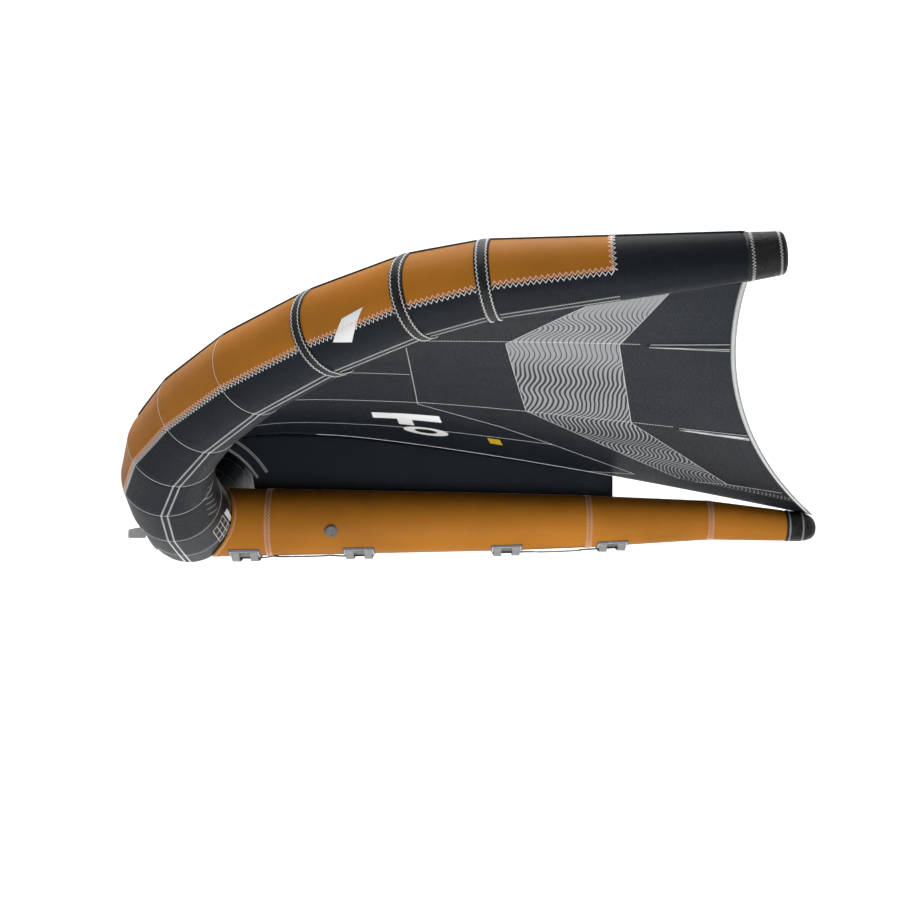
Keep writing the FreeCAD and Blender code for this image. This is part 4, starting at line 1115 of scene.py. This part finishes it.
def keel_web(sewing):
    """The upright panel between strut and canopy, cut to an arc in front."""
    low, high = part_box("keel_web")
    vertices = node_vertices("keel_web")
    foot = vertices[vertices[:, 2] < low[2] + 60 * MM]
    arc_foot = foot[np.argmin(foot[:, 0])]
    arc_head = vertices[np.argmin(vertices[:, 0])]
    centre = CENTRES[0]
    radius = np.hypot(arc_head[0] - centre[0], arc_head[2] - centre[2])
    x = np.unique(np.concatenate([np.linspace(low[0], arc_foot[0], 24),
                                  np.linspace(arc_foot[0], high[0], 60)]))
    front, rear = front_points(0.0), trailing_points(0.0)
    top = canopy_points(0.0, (x - front[0]) / (rear[0] - front[0]))[:, 2] - 0.5 * MM
    strut_height, strut_radius = strut_at(x)
    arc = centre[2] + np.sqrt(np.maximum(radius ** 2 - (x - centre[0]) ** 2, 0))
    bottom = np.maximum(strut_height + strut_radius, np.where(x < arc_foot[0], arc, -1))
    bottom = np.minimum(bottom, top - 0.1 * MM)
    share = np.linspace(0, 1, 14)[None]
    z = bottom[:, None] * (1 - share) + top[:, None] * share
    x = np.broadcast_to(x[:, None], z.shape)
    near = np.stack([x, z * 0 - 0.9 * MM, z], -1)
    far = near * MIRROR
    web = slab("web_panel", near, far, "canopy", np.stack([x, z], -1))
    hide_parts("keel_web")
    turn = np.linspace(math.atan2(arc_foot[2] - centre[2], arc_foot[0] - centre[0]),
                       math.atan2(arc_head[2] - centre[2], arc_head[0] - centre[0]), 60)
    for side in SIDES:
        way = -1 if side == "left" else 1
        for inset in (5 * MM, 9 * MM, 36 * MM, 41 * MM):
            reach = radius + inset
            points = np.stack([centre[0] + reach * np.cos(turn), turn * 0 + way * 1.1 * MM,
                               centre[2] + reach * np.sin(turn)], -1)
            normals = np.tile([0.0, float(way), 0.0], (60, 1))
            sewing.dashes("white", (points, normals), "web arc")


# ---- Handles ----

def cross_slab(name, path, normals, half, lift, material, body="wing", way=(0.0, 1.0, 0.0)):
    """A flat strap along a path: half its width each way, lifted along its normals."""
    way = np.array(way)
    across = np.array([-1, -0.93, -0.5, 0, 0.5, 0.93, 1])[None, :, None]
    crown = np.array([0.35, 0.9, 1, 1, 1, 0.9, 0.35])[None, :, None]
    outer = path[:, None] + way * across * half + normals[:, None] * lift * crown
    inner = path[:, None] + way * across * half
    return slab(name, outer, inner, material, None, body)


PLATE_LIFT = 3.8 * MM
DOWN = np.array([0.0, 0.0, -1.0])


def base_plates(node):
    """The x range of each of a handle's two base plates."""
    x = node_vertices(node)[:, 0]
    middle = (x.min() + x.max()) / 2
    return [(part.min(), part.max()) for part in (x[x < middle], x[x > middle])]


def base_plate(name, first, last, sewing):
    """A plate of cloth under the strut's belly, its edges thinned and sewn down on all four sides."""
    spread = 41
    x = np.array([0, 0.015, 0.06, 0.35, 0.65, 0.94, 0.985, 1])[:, None] * (last - first) + first
    turn = 270 + spread * np.array([-1, -0.97, -0.85, -0.5, 0, 0.5, 0.85, 0.97, 1])
    turn = np.interp(np.linspace(0, 8, 41), range(9), turn)[None]
    edge_x = np.array([0.3, 0.8, 1, 1, 1, 1, 0.8, 0.3])[:, None]
    edge_turn = np.interp(np.abs(turn - 270), [spread * 0.85, spread], [1, 0.35])
    lift = (0.8 + 3 * np.minimum(edge_x, edge_turn)) * MM
    outer = strut_points(x, turn, lift)
    inner = strut_points(x, turn, 0.4 * MM)
    plate = slab(name, outer, inner, "handle_base")
    ends = first + 5 * MM, last - 5 * MM
    sides = 270 - spread * 0.88, 270 + spread * 0.88
    rows = [(end, np.linspace(*sides, 80)) for end in ends]
    rows += [(np.linspace(*ends, 60), edge) for edge in sides]
    for row in rows:
        sewing.zigzag("white", strut_track(*row, 4.2 * MM), "base plate")
    return plate


def strap_loop(name, x):
    """A webbing bridge across the belly that the handle's tail runs through."""
    height, radius = strut_at(x)
    surface = radius + PLATE_LIFT
    turns = np.radians(np.array([-35, -33, -31, -29]))
    feet = np.stack([turns * 0 + x, surface * np.sin(turns), height - surface * np.cos(turns)], -1)
    low = height - surface - 9 * MM
    bridge = np.array([[x, -28 * MM, low + 1.5 * MM], [x, -20 * MM, low], [x, 0, low]])
    half = np.concatenate([feet, bridge])
    path = np.concatenate([half, half[-2::-1] * MIRROR])
    path = smoothed(path, 60)
    tangents = np.gradient(path, axis=0)
    normals = unit(np.cross(tangents, [1.0, 0, 0]))
    normals *= np.sign(normals[len(normals) // 2, 2]) * -1
    return cross_slab(name, path, normals, 11.5 * MM, 2.2 * MM, "webbing_grey",
                      way=(1, 0, 0))


def smoothed(points, count, passes=3):
    """A polyline resampled and softened, its ends kept."""
    lengths = arc_lengths(points)
    line = points_between(np.linspace(0, lengths[-1], count), lengths, points)
    for _ in range(passes):
        line[1:-1] = line[:-2] * 0.25 + line[1:-1] * 0.5 + line[2:] * 0.25
    return line


def handle(place, sewing):
    """Base plates, loops, curved webbing tails and the grip of one hand strap."""
    body = f"{place}_handle"
    plates = base_plates(f"{place}_handle_bases")
    pieces = [base_plate(f"{place}_base_plate_{i}", *plate, sewing) for i, plate in enumerate(plates)]
    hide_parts(f"{place}_handle_bases")
    grip_low, grip_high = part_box(f"{place}_grip")
    for i, (first, last) in enumerate(plates):
        for j, offset in enumerate((-27 * MM, 27 * MM)):
            strap_loop(f"{place}_loop_{i}_{j}", (first + last) / 2 + offset)
    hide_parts(f"{place}_handle_loops")
    for i, ((first, last), inward) in enumerate(zip(plates, (1, -1))):
        outer, inner, grip_end = first, last, grip_low[0]
        if inward < 0:
            outer, inner, grip_end = last, first, grip_high[0]
        outer += inward * 4 * MM
        reach = grip_end + inward * 12 * MM
        x = np.array([outer, (outer + inner) / 2, inner - inward * 4 * MM, inner + inward * 8 * MM,
                      reach])
        height, radius = strut_at(x)
        grip_top = grip_high[2] if place == "front" else grip_top_at(place, grip_end)
        z = height - radius - 4.8 * MM
        z[4] = grip_top - 0.6 * MM
        path = smoothed(np.stack([x, x * 0, z], -1), 60, 6)
        tail = cross_slab(f"{place}_tail_{i}", path, np.tile(DOWN, (60, 1)), 18.5 * MM, 2.4 * MM,
                          "webbing_dark", body=None)
        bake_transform(tail)
    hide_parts(f"{place}_handle_tails")
    grip = grip_pad(place, body)
    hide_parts(f"{place}_grip")


def grip_top_at(place, x):
    """Height of the CAD grip's upper face at one end."""
    vertices = node_vertices(f"{place}_grip")
    near = vertices[np.abs(vertices[:, 0] - x) < 1 * MM]
    return near[:, 2].max()


def grip_pad(place, body):
    """A foam-filled sleeve, crowned and slightly waisted, with a stitched edge."""
    vertices = node_vertices(f"{place}_grip")
    x = np.linspace(vertices[:, 0].min(), vertices[:, 0].max(), 48)
    ends = [grip_top_at(place, x[0]), grip_top_at(place, x[-1])]
    share = (x - x[0]) / (x[-1] - x[0])
    from_end = np.minimum(share, 1 - share)
    bow = np.sin(share * math.pi)
    top = ends[0] * (1 - share) + ends[1] * share - 1.2 * MM * bow
    half = 21 * MM * (1 - 0.06 * bow) * np.clip(0.86 + 2 * from_end, 0, 1)
    thick = 4 * MM * np.clip(0.45 + 6 * from_end, 0, 1)
    turn = np.radians(np.linspace(0, 360, 33))
    wide = np.abs(np.cos(turn)) ** 0.6 * np.sign(np.cos(turn))
    tall = np.abs(np.sin(turn)) ** 0.75 * np.sign(np.sin(turn))
    y = half[:, None] * wide[None]
    z = top[:, None] - thick[:, None] / 2 + thick[:, None] / 2 * tall[None]
    points = np.stack([np.broadcast_to(x[:, None], y.shape), y, z], -1)
    pad = skin(f"{place}_grip_pad", points, np.array([0, 1.0, 0]), "grip", body=body)
    stitches = Sewing()
    for side in (-1, 1):
        line = np.stack([x[2:-2], side * half[2:-2] * 0.8, (top - thick)[2:-2] - 0.1 * MM], -1)
        stitches.dashes("white", (line, np.tile(DOWN, (len(line), 1))), "grip")
    stitches.make(f"{place}_grip_stitches", body)
    return pad


def nose_handle():
    """The sewn patch on the nose and the webbing loop that stands off it."""
    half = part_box("nose_handle_patch")[1][1]
    y = np.linspace(-half, half, 41)[:, None]
    turn = np.radians(np.linspace(193, 224, 16))[None]
    share = np.abs(y) / abs(CENTRES[1][1])
    centre = CENTRES[0] * (1 - share[..., None]) + CENTRES[1] * share[..., None]
    edge = np.minimum(np.clip((1 - np.abs(y) / half) * 12, 0, 1),
                      np.clip(np.minimum(turn - turn.min(), turn.max() - turn) * 20, 0, 1))
    axis_rise = math.atan2(CENTRES[1][2] - CENTRES[0][2], abs(CENTRES[1][1]))
    base = (RADII[0] * (1 - share) + RADII[1] * share) / math.cos(axis_rise)

    def patch(lift):
        reach = base + lift
        return np.stack([centre[..., 0] + reach * np.cos(turn), y + 0 * turn,
                         centre[..., 2] + reach * np.sin(turn)], -1)

    cloth_patch = slab("nose_patch", patch((0.8 + 2 * edge) * MM), patch(0.3 * MM), "reinforcement")
    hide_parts("nose_handle_patch")
    loop_low, loop_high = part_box("nose_handle_loop")
    hinge = next(joint for joint in frame["joints"] if joint["name"] == "nose_handle_fold")
    root_x, middle_z = hinge["pos_m"][0], hinge["pos_m"][2]
    tip_x = loop_low[0]
    span = loop_high[1] - 2 * MM
    corners = [(root_x + 14 * MM, -span), (root_x, -span), (tip_x + 16 * MM, -span),
               (tip_x + 6 * MM, -span + 4 * MM), (tip_x + 2 * MM, -span + 16 * MM), (tip_x + 2 * MM, 0)]
    path = np.array([(*corner, middle_z) for corner in corners])
    path = smoothed(np.concatenate([path, path[-2::-1] * MIRROR]), 140, 5)
    outward = unit(np.cross(np.gradient(path, axis=0), UP))
    outward *= np.sign(-outward[len(outward) // 2, 0])
    strap = cross_slab("nose_strap", path, outward, 12 * MM, 2.0 * MM, "webbing_grey",
                       body=None, way=(0, 0, 1))
    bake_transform(strap)
    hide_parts("nose_handle_loop")


# ---- Prints on the leading edge ----

def tube_mark(side, name, u, angle, material, slot):
    points, normals = tube_track(side, u, angle, 0.9 * MM)
    return skin(f"{name}_{side}", points, normals[0, 0], material)


def corner_grid(corners, rows=14):
    """A grid between four (u, angle) corners: two outboard ones, then two inboard ones."""
    a, b, c, d = (np.array(corner, float) for corner in corners)
    down = np.linspace(0, 1, rows)[:, None, None]
    across = np.linspace(0, 1, rows)[None, :, None]
    grid = (a * (1 - across) + b * across) * (1 - down) + (c * (1 - across) + d * across) * down
    return grid[..., 0], grid[..., 1]


SIZE_BLOCK = [(7.46, 189), (7.68, 184), (7.29, 213), (7.45, 222)]
LABEL_BLOCK = [(1.55, 348), (1.35, 358), (0.75, 349), (0.60, 356)]
LABEL_ROWS = (0.75, 1.04, 1.33, 1.62)
LABEL_ANGLES = (320, 328, 336, 344)


def leading_edge_marks(side):
    """A plain white block and a row of slanted bars in place of the printing."""
    tube_mark(side, "size_block", *corner_grid(SIZE_BLOCK), "white_print", "casing_dark")
    tube_mark(side, "label_block", *corner_grid(LABEL_BLOCK), "white_print", "casing_dark")
    for i in range(6):
        start = 2.15 + 0.2 * i
        bar = [(start + 0.24, 322), (start + 0.24, 325), (start, 340), (start, 343)]
        tube_mark(side, f"slant_bar_{i}", *corner_grid(bar, 6), "grey_print", "casing_dark")


def label_grid(side, sewing):
    """Thin white lines in a grid, near the nose."""
    across = [(u, np.linspace(LABEL_ANGLES[0], LABEL_ANGLES[-1], 20)) for u in LABEL_ROWS]
    down = [(np.linspace(LABEL_ROWS[0], LABEL_ROWS[-1], 20), angle) for angle in LABEL_ANGLES]
    for u, angle in across + down:
        sewing.line("white", tube_track(side, u, angle), 1.6 * MM)


# ---- Stage ----

FLOOR_Z, WALL_REACH, WALL_BEND, WALL_TOP = -2.4, 8.0, 3.0, 7.0
SKY_STRENGTH = 0.4
# Place, target, size and power of each lamp.
LAMPS = {
    "key": ((-0.6, -1.4, 3.8), (0, -0.3, 0.4), 1.8, 110),
    "under": ((0.2, -1.8, -1.35), (0.2, 0, 0.1), 1.0, 40),
    "wall_wash": ((0, 2.2, 5.5), (0, 8.0, 0.5), 4.0, 420),
    "wall_wash_low": ((0, 1.8, 5.5), (0, 5.5, -2.3), 4.0, 220),
}
CAMERA_PLACE = (0.062, -4.173, 0.300)
LENS_MM = 56.8


def studio():
    """A pale bowl, open to a white sky, so that the floor runs into the wall on every side."""
    rise = np.linspace(0, math.pi / 2, 20)
    flat = WALL_REACH - WALL_BEND
    reach = np.concatenate([np.linspace(0, flat, 6)[:-1], flat + WALL_BEND * np.sin(rise), [WALL_REACH]])
    height = np.concatenate([np.full(5, FLOOR_Z), FLOOR_Z + WALL_BEND - WALL_BEND * np.cos(rise),
                             [WALL_TOP]])
    turn = np.linspace(0, math.tau, 97)[None]
    points = np.stack([reach[:, None] * np.cos(turn), reach[:, None] * np.sin(turn),
                       np.broadcast_to(height[:, None], (len(reach), 97))], -1)
    pale = Shader("pale_floor", (0.88, 0.88, 0.88), 0.9)
    pale.paint(pale.blend(pale.noise(pale.place(), 0.8, 2), (0.87, 0.87, 0.87), (0.89, 0.89, 0.89)))
    MATERIALS["floor"] = pale.material
    skin("floor", points, UP, "floor", body=None)
    world = bpy.data.worlds.new("soft_studio")
    world.use_nodes = True
    world.node_tree.nodes["Background"].inputs[0].default_value = (1, 1, 1, 1)
    world.node_tree.nodes["Background"].inputs[1].default_value = SKY_STRENGTH
    bpy.context.scene.world = world
    bpy.context.scene.view_settings.view_transform = "Standard"
    for name, settings in LAMPS.items():
        light(name, *settings)


def light(name, place, target, size, power):
    data = bpy.data.lights.new(name, "AREA")
    data.shape = "DISK"
    data.size = size
    data.energy = power
    obj = bpy.data.objects.new(name, data)
    obj.location = place
    obj.rotation_euler = (Vector(target) - Vector(place)).to_track_quat("-Z", "Y").to_euler()
    obj.visible_camera = False
    bpy.context.scene.collection.objects.link(obj)


def camera():
    data = bpy.data.cameras.new("camera")
    data.sensor_width = 36
    data.lens = LENS_MM
    obj = bpy.data.objects.new("camera", data)
    obj.location = CAMERA_PLACE
    obj.rotation_euler = (math.radians(90), 0, 0)
    bpy.context.scene.collection.objects.link(obj)
    bpy.context.scene.camera = obj


def dress_cad_nodes():
    """Gives the CAD nodes that stay in view their materials."""
    slots = {entry["node"]: entry["material_slot"] for entry in frame["record"]["subparts"]}
    for node, obj in frame["nodes"].items():
        obj.data.materials.clear()
        obj.data.materials.append(MATERIALS[slots[node]])


def build():
    dress_cad_nodes()
    centre_sewing = Sewing()
    for side in SIDES:
        sewing = Sewing()
        leading_edge(side)
        leading_edge_sewing(side, sewing)
        bands = [seam_band(side, seam, sewing) for seam in BANDED_SEAMS]
        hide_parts(f"ring_bands_{side}")
        chafe_strip(side, sewing)
        tip_cap(side, sewing)
        leading_edge_marks(side)
        label_grid(side, sewing)
        canopy_sheet(side)
        printed_band(side)
        canopy_marks(side)
        canopy_sewing(side, sewing)
        trailing_hem(side, sewing)
        pockets = [batten_pocket(side, place, sewing) for place in BATTEN_SHARES]
        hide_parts(f"batten_pockets_{side}")
        sewing.make(f"sewing_{side}")
    strut(centre_sewing)
    end_cap(centre_sewing)
    keel_web(centre_sewing)
    handle("front", centre_sewing)
    handle("rear", centre_sewing)
    nose_handle()
    centre_sewing.make("sewing_centre")


build()
studio()
camera()
